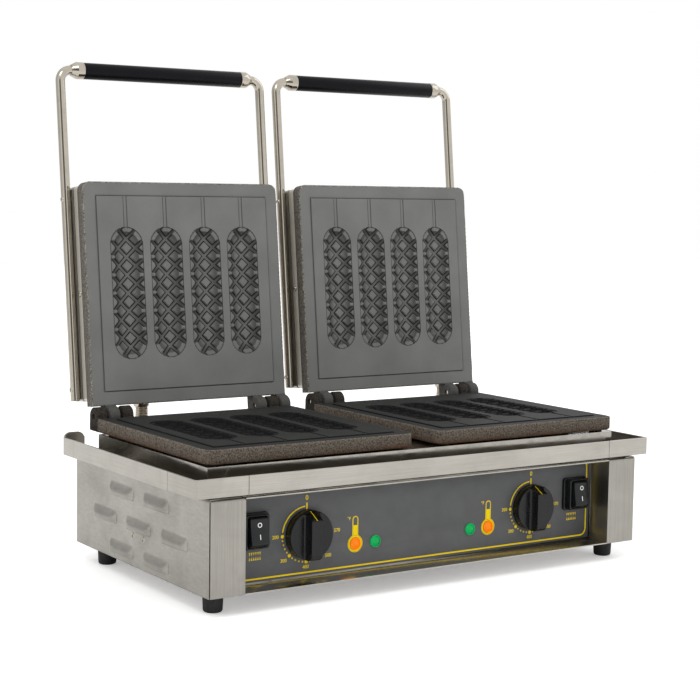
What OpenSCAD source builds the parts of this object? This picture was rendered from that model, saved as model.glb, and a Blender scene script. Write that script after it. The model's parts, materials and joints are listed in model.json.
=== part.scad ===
// Double hot dog waffle maker for a counter: a stainless base with a drip rim, two lower cast-iron plates
// and two hinged lids, each with an upper plate, a steel cover and a rod handle.
// Millimetres, +Z up, front towards -Y. The origin is on the counter, under the middle of the machine
// as it stands with both lids open.

/* [Plates] */
// Width of one cast plate
plate_w = 234; // [220:1:250]
// Depth of one cast plate, front to back
plate_d = 234; // [220:1:250]
// Thickness of a plate's flange
plate_t = 15; // [13:0.5:18]
// Gap between the left and the right plate
plate_gap = 30; // [24:1:50]
// Radius of a plate's two front corners
plate_corner_r = 9; // [4:0.5:14]
// Width of the lowered border round a plate's face
face_border = 15; // [12:0.5:18]
// Height of the raised face above its border, and depth of the stick channels
face_step = 1; // [0.5:0.1:1.6]
// Clear gap between the two faces of a closed pair
parting_gap = 0.4; // [0.2:0.1:0.8]
// How far the casting swells behind its moulds
belly_t = 6; // [5:0.5:8]
// Metal round the moulds in the swelling
belly_wall = 6; // [4:0.5:8]
// Height of the lugs that keep a plate off its seat
lug_h = 2; // [1:0.5:4]
// Radius of those lugs
lug_r = 7; // [6:0.5:9]
// Distance of a lug's centre from the plate's edges
lug_inset = 13.5; // [12.5:0.5:15]

/* [Moulds] */
// Number of moulds in a plate
mould_count = 4; // [3:1:4]
// Distance between neighbouring moulds
mould_pitch = 46.4; // [42:0.2:48]
// Width of a mould at the face
mould_w = 37.4; // [32:0.2:40]
// Length of a mould at the face
mould_l = 138.4; // [120:0.2:150]
// Depth of a mould
mould_depth = 8; // [6:0.5:18]
// Width of the channel for the stick
stick_w = 3.5; // [2.5:0.1:6]

/* [Hinge] */
// Radius of the hinge knuckles
knuckle_r = 9.5; // [8:0.25:11]
// Width of one knuckle
knuckle_w = 11.6; // [9:0.2:13]
// Space between neighbouring knuckles
knuckle_gap = 3.5; // [1:0.1:5]
// Clear space between a knuckle and the other plate's edge
knuckle_clear = 0.5; // [0.4:0.1:1.5]
// Radius of the hinge pins
pin_r = 3; // [2:0.25:4]
// Radial clearance of pins, shafts and sleeves that turn or slide on
run_clear = 0.05; // [0.02:0.01:0.1]
// How far a pin's ends lie inside its knuckles
pin_set_in = 1.5; // [1:0.25:3]
// Opening angle of the lids from closed
lid_open = 96.5; // [92:0.5:100]

/* [Rim and tray] */
// Width of the drip gutter at the sides
gutter_w = 25.2; // [20:0.2:32]
// Width of the drip gutter at the front
gutter_front = 26; // [20:0.2:32]
// Height of the rim
rim_h = 18; // [14:0.5:24]
// Thickness of the rim
rim_t = 2; // [1.2:0.1:3]
// Length of a corner piece along each side
rim_corner = 55; // [40:1:70]
// Open seam between the pieces of the rim
rim_seam = 0.3; // [0.1:0.1:0.6]
// Distance from the hinge axis to the back of the rim
rim_rear = 19; // [15:0.5:30]
// Width of the raised tab at the rim's rear ends
tab_w = 24; // [18:0.5:26]
// Height of that tab above the rim
tab_rise = 5; // [2:0.5:8]
// Radius of the tab's upper corners
tab_r = 8; // [3:0.5:9]
// Height of the plateau above the tray's floor
plateau_h = 21.8; // [18:0.2:26]
// How far the plateau stays inside the plates' outer edges
plateau_inset = 1.2; // [0.5:0.1:3]
// Shadow gap between the body and the tray
tray_gap = 2.6; // [1.5:0.1:5]
// How far the hem that fills this gap stays inside the body
hem_inset = 8; // [5:0.5:10]

/* [Body] */
// Height of the body above its feet
body_h = 90.4; // [84:0.2:110]
// How far the rim stands out past the sides of the body
rim_overhang = 16.5; // [10:0.5:22]
// How far the body's front and back lie inside the rim
body_setback = 1.6; // [0.5:0.1:5]
// Thickness of the body's sheet steel
sheet = 1.2; // [0.8:0.1:2]
// Width of the inward flange of a side panel
flange_w = 12; // [10:0.5:16]
// Height of the feet
foot_h = 19; // [14:0.5:30]
// Radius of the feet at the top
foot_r = 10; // [8:0.5:13]
// How much narrower a foot is at the bottom
foot_taper = 0.7; // [0.2:0.1:1.5]
// Chamfer round the bottom of a foot
foot_chamfer = 2; // [1:0.25:3]
// Distance of the feet from the sides of the body
foot_side = 17.9; // [15:0.1:22]
// Distance of the front feet from the body's front
foot_front = 27.6; // [20:0.1:40]
// Distance of the rear feet from the body's back
foot_back = 33.3; // [20:0.1:45]

/* [Louvres] */
// Length of a louvre
louvre_l = 49; // [36:0.5:54]
// Height of a louvre
louvre_h = 13; // [8:0.5:18]
// How far a louvre stands out
louvre_rise = 4; // [2:0.25:6]
// Distance between louvres in a row
louvre_pitch = 75; // [64:1:80]
// Distance between rows of louvres
louvre_row = 29; // [24:0.5:32]
// Distance between the two screws in a side panel
side_screw_pitch = 22.4; // [16:0.2:30]

/* [Front] */
// Width of a front post
post_w = 36.7; // [30:0.1:42]
// Thickness of the posts and of the hood
post_t = 1.5; // [1:0.1:2.5]
// Outer radius of a post's top fold
post_fold_r = 3; // [2:0.25:6]
// Depth of the recess with the controls
recess_d = 29; // [24:0.5:36]
// Thickness of the printed label
label_t = 0.4; // [0.2:0.1:0.8]
// Steel left bare round the label
label_margin = 1.5; // [0.5:0.1:3]
// Centre of a switch from the side of the recess
switch_in = 23.8; // [20:0.1:26]
// Height of the switches above the body's bottom
switch_up = 52.5; // [40:0.5:56]
// Centre of a knob from its switch
knob_in = 59.5; // [56:0.1:64]
// Height of the knobs above the body's bottom
knob_up = 43; // [36:0.5:50]
// Centre of an orange lamp from its knob
orange_in = 56.2; // [50:0.1:60]
// Centre of a green lamp from the orange one
green_in = 23.5; // [18:0.1:26]
// Height of the lamps above the body's bottom
lamp_up = 27.6; // [20:0.2:36]

/* [Controls] */
// Radius of a knob
knob_r = 24; // [18:0.5:28]
// Height of a knob's disc
knob_disc = 9.5; // [6:0.5:12]
// Height of a knob
knob_h = 19.5; // [16:0.5:24]
// Length of the slope at the upper end of a knob's bar
knob_slope = 9.5; // [6:0.5:14]
// Width of the grip bar across a knob
knob_bar = 12.5; // [8:0.5:16]
// Gap between a knob and the label
knob_gap = 0.8; // [0.4:0.1:2]
// Radius of a thermostat's shaft
shaft_r = 3; // [2.5:0.25:4]
// Outer radius of a thermostat's bush
bush_r = 5; // [4.5:0.25:6]
// Width of a thermostat's box
thermostat_w = 40; // [30:1:48]
// Height of a thermostat's box
thermostat_h = 36; // [26:1:44]
// Depth of a thermostat's box
thermostat_d = 34; // [24:1:44]
// Radius of the thermostat's bulb
bulb_r = 3; // [2:0.25:3.5]
// Length of the bulb
bulb_l = 70; // [40:1:90]
// Radius of the capillary tube
capillary_r = 1; // [0.75:0.25:1.5]
// Bend radius of the capillary tube
capillary_bend = 8; // [6:0.5:12]
// Width of a switch's bezel
bezel_w = 32; // [30:0.5:36]
// Thickness of that bezel
bezel_t = 3; // [2:0.25:4]
// How far a switch's frame stands out from the label
frame_out = 9.5; // [6:0.5:10]
// Width of a rocker
rocker_w = 19.5; // [18:0.5:24]
// Radius of a rocker's rounded ends about its pivot
rocker_r = 14.75; // [14:0.25:17]
// Distance from a rocker's pivot to its face
rocker_face = 8.5; // [7:0.25:11]
// Tilt of a rocker either way from its middle
rocker_tilt = 8; // [5:0.5:10]
// Gap between a rocker and its housing
rocker_gap = 0.3; // [0.2:0.05:0.5]
// Radius of a rocker's pivot pins
rocker_pin_r = 1.5; // [1:0.1:2]
// Length of those pins
rocker_pin_l = 1.6; // [1:0.1:2]
// Wall of a switch's housing
housing_wall = 1.2; // [1:0.1:2]
// Depth of a switch's body behind the label
housing_d = 22; // [16:0.5:30]
// Radius of a lamp's lens
lens_r = 6; // [4.5:0.25:7.5]
// How far a lens stands out
lens_out = 3.5; // [2:0.25:6]
// Radius of a lamp's body behind the panel
lamp_r = 4.5; // [3:0.25:5]
// Length of that body
lamp_l = 20; // [12:0.5:30]

/* [Heating] */
// Radius of a tubular heating element
element_r = 4; // [3:0.25:4.5]
// Distance of an element from the sides of the swelling it heats
element_edge = 15.3; // [8:0.1:18]
// Gap between an element and its plate
element_gap = 0.2; // [0.1:0.05:0.3]
// Bend radius of an element's terminals
terminal_bend = 10; // [8:0.5:14]
// Length of the terminals past their bend
terminal_l = 6; // [4:0.5:10]
// Clear space round a terminal in its slot
terminal_clear = 1; // [0.5:0.1:2]
// Width of the rim round a reflector tray's floor
reflector_margin = 6; // [5:0.5:7]
// Radius of the plate bolts
bolt_r = 3; // [2:0.25:3.5]
// Depth of a bolt in its plate
bolt_depth = 9; // [6:0.5:12]
// Height of a bolt's head
bolt_head = 3; // [2:0.25:3.5]

/* [Lid] */
// How far the lid's steel band stays inside the plate's sides
band_inset = 1.5; // [1:0.1:3]
// Height of that band behind the plate
band_h = 11; // [9:0.5:14]
// Height of the shadow groove between band and cover
neck_h = 2; // [1:0.25:4]
// Depth of that groove
neck_in = 3.5; // [2:0.25:4]
// Height of the cover
cover_h = 24; // [23:0.5:32]
// How far the cover stays inside the plate's sides
cover_inset = 1.1; // [0.5:0.1:3]
// Distance of the cover and band from the plate's front edge
lid_front = 3; // [1:0.5:6]
// Distance of the cover and band from the plate's rear edge
lid_rear = 5; // [3:0.5:5.5]
// Radius of the cover's corners
cover_r = 4; // [3:0.5:8]

/* [Handle] */
// Diameter of the handle rod
rod_d = 10; // [8:0.5:12]
// Gap between the rod and the cover's side
rod_gap = 0.1; // [0.05:0.05:0.3]
// Height of the rod above the cover's rear edge
rod_rise = 5.8; // [5.5:0.1:9]
// Distance of the rod's ends from the hinge axis
rod_start = 16; // [14:0.5:24]
// Distance of the grip past the plate's front edge
grip_out = 120.5; // [90:0.5:150]
// Bend radius of the rod
rod_bend = 12; // [10:0.5:20]
// Diameter of the grip
grip_d = 17.4; // [14:0.2:24]
// Diameter of the collars at the grip's ends
collar_d = 18; // [15:0.2:25]
// Length of a collar
collar_l = 14; // [8:0.5:16]
// Length of a collar's taper
collar_taper = 6; // [3:0.5:7]
// Radius of the screws that hold the rod
screw_r = 2; // [1.5:0.25:2.5]
// Radius of a screw's head
screw_head_r = 3; // [2.5:0.25:3.5]
// Thickness of a screw's head
screw_head_t = 2; // [1:0.25:3]
// Distance of the rod screws from the cover's ends
rod_screw_in = 13; // [10:0.5:30]

/* [Conduit] */
// Outer radius of the flexible conduit
hose_r = 7; // [6:0.25:7.5]
// Depth of the conduit's ribs
rib_depth = 0.9; // [0.5:0.1:1.2]
// Radius of the conduit's bore
hose_bore_r = 5; // [3.5:0.25:5]
// Number of ribs on a conduit
rib_count = 48; // [20:1:80]
// Sideways place of the left conduit from its lid's middle
hose_x_left = -41; // [-60:1:60]
// Distance of the right conduit from the outer side of its cover
hose_in_right = 15.9; // [14:0.1:30]
// Height of the conduits' glands above the body's bottom
hose_up = 13; // [12:0.5:40]
// Length of a gland outside its wall
gland_l = 9; // [7:0.5:11]
// Radius of a gland's barrel
gland_r = 8.5; // [8:0.25:9.5]
// Radius of the mains cable's bore in its gland
cable_r = 5; // [4:0.25:6]
// Sideways place of the mains cable's gland
cable_x = -60; // [-90:1:-10]

/* [Hidden] */
$fn = 48;
left = -1;
right = 1;
eps = 0.01;
lean = lid_open - 90;

// Along Y: distances behind the rim's front face, then the hinge and the body in the machine's own frame
hinge_reach = knuckle_r + knuckle_clear;
plateau_front = rim_t + gutter_front;
hinge_behind = plateau_front - plateau_inset + plate_d + hinge_reach;
rim_depth = hinge_behind + rim_rear;
plate_far = hinge_reach + plate_d;
face_z = parting_gap / 2;
back_z = face_z + plate_t;
cover_z = back_z + band_h + neck_h;
rod_z = cover_z + rod_rise;
rod_r = rod_d / 2;
grip_reach = plate_far + grip_out;
collar_r = collar_d / 2;
whole_depth = hinge_behind + grip_reach * sin(lean) + rod_z * cos(lean) + collar_r;
y_front = -whole_depth / 2;
y_hinge = y_front + hinge_behind;
y_back = y_front + rim_depth;
body_front = y_front + body_setback;
body_back = y_back - body_setback;
panel_y = body_front + recess_d;
label_y = panel_y - label_t;

// Along Z
body_top = foot_h + body_h;
tray_z = body_top + tray_gap;
floor_z = tray_z + sheet;
plateau_z = floor_z + plateau_h;
hinge_z = plateau_z + lug_h + back_z;

// Along X
lid_x = plate_gap / 2 + plate_w / 2;
plateau_x = plate_gap / 2 + plate_w - plateau_inset;
rim_x = plateau_x + gutter_w + rim_t;
body_x = rim_x - rim_overhang;
panel_x = body_x - post_w;
switch_x = panel_x - switch_in;
knob_x = switch_x - knob_in;
orange_x = knob_x - orange_in;
green_x = orange_x - green_in;
foot_x = body_x - foot_side;

// Plates and moulds
plate_mid = hinge_reach + plate_d / 2;
face_w = plate_w - 2 * face_border;
face_d = plate_d - 2 * face_border;
mould_r = (pow(mould_w / 2, 2) + pow(mould_depth, 2)) / (2 * mould_depth);
belly_w = (mould_count - 1) * mould_pitch + mould_w + 2 * belly_wall;
belly_d = mould_l + 2 * belly_wall;
belly_z = back_z + belly_t;
element_pitch = (belly_w - 2 * element_r - 2 * element_edge) / 3;
element_run = belly_d - element_pitch - 2 * element_r;
element_z = belly_z + element_gap + element_r;
element_back = element_z + element_r + element_gap;
lug_x = plate_w / 2 - lug_inset;
lug_near = hinge_reach + lug_inset;
lug_far = plate_far - lug_inset;

// Lids
band_x = plate_w / 2 - band_inset;
cover_x = plate_w / 2 - cover_inset;
lid_near = hinge_reach + lid_rear;
lid_far = plate_far - lid_front;
lid_mid = (lid_near + lid_far) / 2;
lid_len = lid_far - lid_near;
web_low = max(cover_z, element_back);
web_z = web_low + sheet;
rod_x = cover_x + rod_gap + rod_r;
grip_l = 2 * (rod_x - rod_bend - collar_l);
screw_seat_x = rod_x + sqrt(rod_r * rod_r - screw_head_r * screw_head_r);
gland_z = web_z + bolt_head + gland_r * cos(30) + 0.3;

// Steel of the controls
bezel_h = 2 * (rocker_r + rocker_gap + housing_wall) + 2;
pivot_out = frame_out - 3.5;
gland_thread_r = gland_r - 2.5;
nut_t = 3;

// Turns a place on an open lid, e from the hinge axis and h behind its face, into the machine's Y and Z
function lid_y(e, h) = y_hinge + e * sin(lean) + h * cos(lean);
function lid_z(e, h) = hinge_z + e * cos(lean) - h * sin(lean);

// The conduit's centre line in Y and Z: an arc out of the rear panel and up, then an arc back into the lid,
// both of the one radius that joins the two ends
hose_z = foot_h + hose_up;
hose_start = [body_back + gland_l, hose_z];
hose_end = [lid_y(lid_near - gland_l, gland_z), lid_z(lid_near - gland_l, gland_z)];
hose_go = hose_end - hose_start;
hose_rise = hose_go[1] * (1 + sin(lean)) - hose_go[0] * cos(lean);
hose_square = hose_go * hose_go;
hose_bend = hose_square / (hose_rise + sqrt(hose_rise * hose_rise + 2 * hose_square * (1 - sin(lean))));
hose_over = atan2(hose_go[1] / hose_bend - 1 - sin(lean), hose_go[0] / hose_bend + cos(lean));
hose_turn = 90 + hose_over;
hose_l = hose_bend * (hose_turn + hose_over + lean) * PI / 180;
function hose_arc(s) = s / hose_bend * 180 / PI;
function hose_angle(s) = hose_arc(s) < hose_turn ? hose_arc(s) : 2 * hose_turn - hose_arc(s);
function hose_at(s) = let (a = hose_angle(s)) hose_start + hose_bend * (hose_arc(s) < hose_turn
    ? [sin(a), 1 - cos(a)] : [2 * sin(hose_turn) - sin(a), 1 - 2 * cos(hose_turn) + cos(a)]);
hose_sides = 8;
function hose_ring(x, s, r) = let (c = hose_at(s), a = hose_angle(s))
    [for (j = [0 : hose_sides - 1]) let (f = 360 * j / hose_sides)
        [x + r * cos(f), c[0] - r * sin(f) * sin(a), c[1] + r * sin(f) * cos(a)]];

steel = "#b5b1aa";
polished = "#c9c6c0";
iron = "#4a4a4a";
black = "#1c1c1e";

// Small helpers

// A box from one corner to the opposite one
module block(a, b) {
    translate(a) cube(b - a);
}

// A round bar along X from x0 to x1
module bar_x(r, x0, x1) {
    translate([x0, 0, 0]) rotate([0, 90, 0]) cylinder(r = r, h = x1 - x0);
}

// A round bar along Y from y0 to y1
module bar_y(r, y0, y1) {
    translate([0, y0, 0]) rotate([-90, 0, 0]) cylinder(r = r, h = y1 - y0);
}

// A rectangle with round corners, centred
module soft_rect(w, d, r) {
    square([w - 2 * r, d], center = true);
    square([w, d - 2 * r], center = true);
    for (x = [-1, 1], y = [-1, 1]) translate([x * (w / 2 - r), y * (d / 2 - r)]) circle(r);
}

// A half turn of round bar in the XY plane, from +X to -X through +Y
module half_turn(bend, r) {
    rotate_extrude(angle = 180) translate([bend, 0]) circle(r);
}

// A quarter turn of round bar in the XY plane, from +X to +Y
module quarter_turn(bend, r) {
    rotate_extrude(angle = 90) translate([bend, 0]) circle(r);
}

// Puts a shape made round a lower plate's hinge axis in its place, face up
module at_plate(side) {
    translate([side * lid_x, y_hinge, hinge_z]) children();
}

// Puts a shape made round a closed lid's hinge axis in its place on the open lid
module at_lid(side) {
    translate([side * lid_x, y_hinge, hinge_z]) rotate([-lid_open, 0, 0]) children();
}

// Puts a shape that points along +Z on the front of the label, pointing forward
module on_panel(x, up) {
    translate([x, label_y, foot_h + up]) rotate([90, 0, 0]) children();
}

// Rim and tray

module rim_front() {
    x = rim_x - rim_corner - rim_seam;
    color(steel) block([-x, y_front, tray_z], [x, y_front + rim_t, tray_z + rim_h]);
}

module rim_corner_piece(side) {
    color(steel) mirror([side == left ? 1 : 0, 0, 0]) {
        difference() {
            block([rim_x - rim_corner, y_front, tray_z], [rim_x, y_front + rim_corner, tray_z + rim_h]);
            block([rim_x - rim_corner - 1, y_front + rim_t, tray_z - 1],
                  [rim_x - rim_t, y_front + rim_corner + 1, tray_z + rim_h + 1]);
        }
    }
}

module rim_side(side) {
    color(steel) mirror([side == left ? 1 : 0, 0, 0]) {
        block([rim_x - rim_t, y_front + rim_corner + rim_seam, tray_z], [rim_x, y_back, tray_z + rim_h]);
        translate([rim_x - tab_w / 2, y_back, 0]) rotate([90, 0, 0]) linear_extrude(rim_t) {
            translate([-tab_w / 2, tray_z]) square([tab_w, rim_h]);
            translate([0, tray_z + (rim_h + tab_rise) / 2]) soft_rect(tab_w, rim_h + tab_rise, tab_r);
        }
    }
}

module drip_tray() {
    x = rim_x - rim_t;
    hem_x = body_x - hem_inset;
    open_x = plateau_x - hem_inset;
    open_front = y_front + plateau_front + hem_inset;
    open_back = y_hinge - hinge_reach - hem_inset;
    color(steel) difference() {
        union() {
            block([-x, y_front + rim_t, tray_z], [x, y_back - rim_t, floor_z]);
            block([-hem_x, body_front + hem_inset, body_top], [hem_x, body_back - hem_inset, tray_z + eps]);
        }
        block([-hem_x + 2, body_front + hem_inset + 2, body_top - 1],
              [hem_x - 2, body_back - hem_inset - 2, tray_z]);
        block([-open_x, open_front, tray_z - 1], [open_x, open_back, floor_z + 1]);
    }
}

module plateau() {
    front = y_front + plateau_front;
    back = y_hinge - hinge_reach;
    color(polished) difference() {
        block([-plateau_x, front, floor_z], [plateau_x, back, plateau_z]);
        block([-plateau_x + sheet, front + sheet, floor_z - 1],
              [plateau_x - sheet, back - sheet, plateau_z - sheet]);
        for (side = [left, right]) at_plate(side) {
            block([-belly_w / 2 - 1, -plate_mid - belly_d / 2 - 1, -belly_z],
                  [belly_w / 2 + 1, -plate_mid + belly_d / 2 + 1, 0]);
            each_lug() translate([0, 0, -belly_z]) cylinder(r = bolt_r + run_clear, h = belly_z);
        }
    }
}

// Body

// The bowed hood of one louvre on the plane x = 0, standing out along +X; it slopes up to the sheet
module louvre_hood() {
    lip = louvre_h / 5;
    slope = atan2(louvre_rise, louvre_h - lip);
    intersection() {
        louvre_bow(0, louvre_h);
        translate([0, 0, louvre_h / 2]) rotate([0, -slope, 0])
            block([-2 * louvre_h, -louvre_l, -2 * louvre_h], [0, louvre_l, 2 * louvre_h]);
        block([-sheet / 2, -louvre_l, -louvre_h], [2 * louvre_rise, louvre_l, louvre_h]);
    }
}

// The bow of a louvre from its lower edge up, made thinner all round
module louvre_bow(thin, h) {
    bow = (pow(louvre_l / 2, 2) + pow(louvre_rise, 2)) / (2 * louvre_rise);
    translate([louvre_rise - bow, 0, -louvre_h / 2]) rotate([0, 0, 180]) cylinder(r = bow - thin, h = h);
}

module each_louvre() {
    mid_y = (body_front + body_back) / 2;
    mid_z = foot_h + body_h / 2 - 2.2;
    for (row = [-1, 0, 1]) for (i = [0 : row == 0 ? 2 : 1])
        translate([0, mid_y + (i - (row == 0 ? 1 : 0.5)) * louvre_pitch, mid_z + row * louvre_row])
            children();
}

module each_side_screw() {
    mid_y = (body_front + body_back) / 2;
    mid_z = foot_h + body_h / 2 - louvre_row / 2;
    for (i = [-0.5, 0.5]) translate([0, mid_y + i * side_screw_pitch, mid_z]) children();
}

module side_panel(side) {
    slot_h = louvre_h / 6;
    color(steel) mirror([side == left ? 1 : 0, 0, 0]) difference() {
        union() {
            block([body_x - sheet, body_front + post_t, foot_h], [body_x, body_back, body_top]);
            block([body_x - flange_w, panel_y + sheet, body_top - sheet],
                  [body_x - eps, body_back - sheet, body_top]);
            translate([body_x, 0, 0]) each_louvre() louvre_hood();
        }
        translate([body_x, 0, 0]) each_louvre() intersection() {
            translate([0, 0, -1]) louvre_bow(louvre_rise / 3, slot_h + 1);
            block([-sheet - 1, -louvre_l, -louvre_h], [2 * louvre_rise, louvre_l, louvre_h]);
        }
        translate([body_x, 0, 0]) each_side_screw() bar_x(screw_r + run_clear, -sheet - 1, 1);
    }
}

module rear_panel() {
    color(steel) difference() {
        block([-body_x + sheet, body_back - sheet, foot_h], [body_x - sheet, body_back, body_top - sheet]);
        for (x = [hose_x(left), hose_x(right), cable_x]) translate([x, 0, hose_z])
            bar_y(gland_thread_r + run_clear, body_back - sheet - 1, body_back + 1);
    }
}

function hose_x(side) = side * lid_x + (side == left ? hose_x_left : cover_x - hose_in_right);

module each_foot() {
    for (x = [-foot_x, foot_x], y = [body_front + foot_front, body_back - foot_back])
        translate([x, y, 0]) children();
}

module bottom_pan() {
    slot_w = 5;
    slot_l = 60;
    color(steel) difference() {
        union() {
            block([-body_x + sheet, body_front + post_t, foot_h],
                  [body_x - sheet, body_back - sheet, foot_h + sheet]);
            block([-panel_x, body_front, foot_h], [panel_x, body_front + post_t + eps, foot_h + sheet]);
        }
        each_foot() translate([0, 0, foot_h - 1]) cylinder(r = screw_r + run_clear, h = sheet + 2);
        for (i = [-2 : 2]) translate([i * slot_l * 1.4, (panel_y + body_back) / 2 - 40, foot_h - 1])
            block([-slot_l / 2, 0, 0], [slot_l / 2, slot_w, sheet + 2]);
    }
}

module feet() {
    low_r = foot_r - foot_taper;
    color(black) each_foot() difference() {
        rotate_extrude() polygon([[0, 0], [low_r - foot_chamfer, 0], [low_r, foot_chamfer],
                                  [foot_r, foot_h], [0, foot_h]]);
        translate([0, 0, foot_h - bolt_depth]) cylinder(r = screw_r + run_clear, h = bolt_depth + 1);
    }
}

module casing_screws() {
    color(polished) {
        each_foot() {
            translate([0, 0, foot_h + sheet]) cylinder(r = screw_head_r + 1, h = screw_head_t);
            translate([0, 0, foot_h - bolt_depth + 1])
                cylinder(r = screw_r, h = bolt_depth + sheet - 1 + eps);
        }
        for (side = [0, 1]) mirror([side, 0, 0]) translate([body_x, 0, 0]) each_side_screw() {
            bar_x(screw_head_r, 0, screw_head_t / 2);
            bar_x(screw_r, -sheet - 4, eps);
        }
    }
}

// Front

// Front sheet and top flange of a post in Y and Z, with a round fold
module post_profile(depth, height) {
    inner_r = max(post_fold_r - post_t, 0.2);
    difference() {
        union() {
            square([depth, height - post_fold_r]);
            translate([post_fold_r, 0]) square([depth - post_fold_r, height]);
            translate([post_fold_r, height - post_fold_r]) circle(post_fold_r);
        }
        translate([post_t, -1]) square([depth, height - post_t - inner_r + 1]);
        translate([post_t + inner_r, -1]) square([depth, height - post_t + 1]);
        translate([post_t + inner_r, height - post_t - inner_r]) circle(inner_r);
    }
}

module front_post(side) {
    color(steel) mirror([side == left ? 1 : 0, 0, 0]) {
        translate([panel_x, body_front, foot_h]) rotate([90, 0, 90])
            linear_extrude(post_w - sheet) post_profile(recess_d, body_h);
        block([body_x - sheet - eps, body_front, foot_h],
              [body_x, body_front + post_t, body_top - post_fold_r]);
        block([panel_x, body_front + post_t - eps, foot_h + sheet],
              [panel_x + post_t, panel_y, body_top - post_t + eps]);
    }
}

module panel_hood() {
    color(steel) block([-panel_x, body_front, body_top - post_t], [panel_x, panel_y, body_top]);
}

// Everything that passes through the control panel and its label
module panel_cuts() {
    d = sheet + label_t + 2;
    for (side = [left, right]) translate([0, 0, -d + 1]) {
        translate([side * knob_x, knob_up]) cylinder(r = bush_r + run_clear, h = d);
        translate([side * orange_x, lamp_up]) cylinder(r = lamp_r + run_clear, h = d);
        translate([side * green_x, lamp_up]) cylinder(r = lamp_r + run_clear, h = d);
        translate([side * switch_x, switch_up, d / 2])
            cube([housing_w() + 0.2, housing_h() + 0.2, d], center = true);
    }
}

function housing_w() = rocker_w + 2 * rocker_gap + 2 * (rocker_pin_l + housing_wall);
function housing_h() = 2 * (rocker_r + rocker_gap + housing_wall);

module control_panel() {
    color(polished) difference() {
        x = panel_x + post_t;
        block([-x, panel_y, foot_h + sheet], [x, panel_y + sheet, body_top - sheet]);
        on_panel(0, 0) panel_cuts();
    }
}

module panel_label() {
    x = panel_x - label_margin;
    color("#55555a") difference() {
        block([-x, label_y, foot_h + sheet + label_margin], [x, panel_y, body_top - post_t - label_margin]);
        on_panel(0, 0) panel_cuts();
    }
}

// Plates

module each_lug() {
    for (x = [-lug_x, lug_x], e = [lug_near, lug_far]) translate([x, -e, 0]) children();
}

function knuckle_x(k) = plate_w / 2 - k * (knuckle_w + knuckle_gap);

// Knuckle number k, counted from the plate's side, with the arm that joins it to the flange
module knuckle(k) {
    x = knuckle_x(k);
    bar_x(knuckle_r, x - knuckle_w, x);
    block([x - knuckle_w, -hinge_reach - 2, -back_z], [x, knuckle_r, -face_z - face_step]);
}

// Space of one mould under the face z = 0, with the channel of its stick
module mould() {
    half = (mould_l - mould_w) / 2;
    translate([0, 0, mould_r - mould_depth]) {
        bar_y(mould_r, -half, half);
        for (y = [-half, half]) translate([0, y, 0]) sphere(mould_r);
    }
    block([-stick_w / 2, -face_d / 2 - 1, -face_step], [stick_w / 2, -half, 1]);
}

// One cast plate, face up, round its hinge axis: two knuckles at its left, one at its right
module casting() {
    difference() {
        union() {
            translate([0, -plate_mid, -back_z]) linear_extrude(plate_t - face_step) {
                soft_rect(plate_w, plate_d, plate_corner_r);
                translate([-plate_w / 2, 0]) square([plate_w, plate_d / 2]);
            }
            block([-face_w / 2, -plate_mid - face_d / 2, -back_z + 1],
                  [face_w / 2, -plate_mid + face_d / 2, -face_z]);
            block([-belly_w / 2, -plate_mid - belly_d / 2, -belly_z],
                  [belly_w / 2, -plate_mid + belly_d / 2, -back_z + 1]);
            each_lug() translate([0, 0, -back_z - lug_h]) cylinder(r = lug_r, h = lug_h + 1);
            mirror([1, 0, 0]) knuckle(0);
            mirror([1, 0, 0]) knuckle(2);
            knuckle(1);
        }
        for (i = [0 : mould_count - 1])
            translate([(i - (mould_count - 1) / 2) * mould_pitch, -plate_mid, -face_z]) mould();
        bar_x(pin_r + run_clear, -plate_w, plate_w);
        each_lug() translate([0, 0, -back_z - lug_h - 1])
            cylinder(r = bolt_r + run_clear, h = bolt_depth + 1);
    }
}

module lower_plate(side) {
    color(iron) at_plate(side) casting();
}

module upper_plate(side) {
    color(iron) at_lid(side) rotate([0, 180, 0]) casting();
}

// A tubular element behind a casting: four runs joined by half turns, its terminals bent away
module element() {
    half = element_run / 2;
    translate([0, -plate_mid, -element_z]) {
        for (i = [-1.5 : 1.5]) translate([i * element_pitch, 0, 0]) bar_y(element_r, -half, half);
        for (i = [-1, 1]) translate([i * element_pitch, -half, 0]) rotate([0, 0, 180])
            half_turn(element_pitch / 2, element_r);
        translate([0, half, 0]) half_turn(element_pitch / 2, element_r);
        for (i = [-1.5, 1.5]) translate([i * element_pitch, half, -terminal_bend]) {
            rotate([0, 90, 0]) rotate([0, 0, 90]) quarter_turn(terminal_bend, element_r);
            translate([0, terminal_bend, -terminal_l]) cylinder(r = element_r, h = terminal_l);
        }
    }
}

module lower_element(side) {
    color("#6d6a66") at_plate(side) element();
}

module upper_element(side) {
    color("#6d6a66") at_lid(side) rotate([0, 180, 0]) element();
}

// Slots for an element's terminals, with their bends, through a sheet at depth z behind the face
module terminal_slots(z) {
    r = element_r + terminal_clear;
    for (i = [-1.5, 1.5]) translate([i * element_pitch, -plate_mid + element_run / 2, z - terminal_l]) {
        translate([0, terminal_bend, 0]) cylinder(r = r, h = 2 * terminal_l);
        block([-r, 0, 0], [r, terminal_bend, 2 * terminal_l]);
    }
}

module lower_reflectors() {
    w = belly_w / 2 + reflector_margin;
    d = belly_d / 2 + reflector_margin;
    top = plateau_z - sheet - hinge_z;
    color(polished) for (side = [left, right]) at_plate(side) difference() {
        block([-w, -plate_mid - d, -element_back - sheet], [w, -plate_mid + d, top]);
        block([-w + sheet, -plate_mid - d + sheet, -element_back],
              [w - sheet, -plate_mid + d - sheet, top + 1]);
        terminal_slots(-element_back);
        translate([side * (knob_x - lid_x), capillary_drop() - y_hinge, -element_back])
            cylinder(r = capillary_r + 1, h = 4 * sheet, center = true);
    }
}

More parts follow.
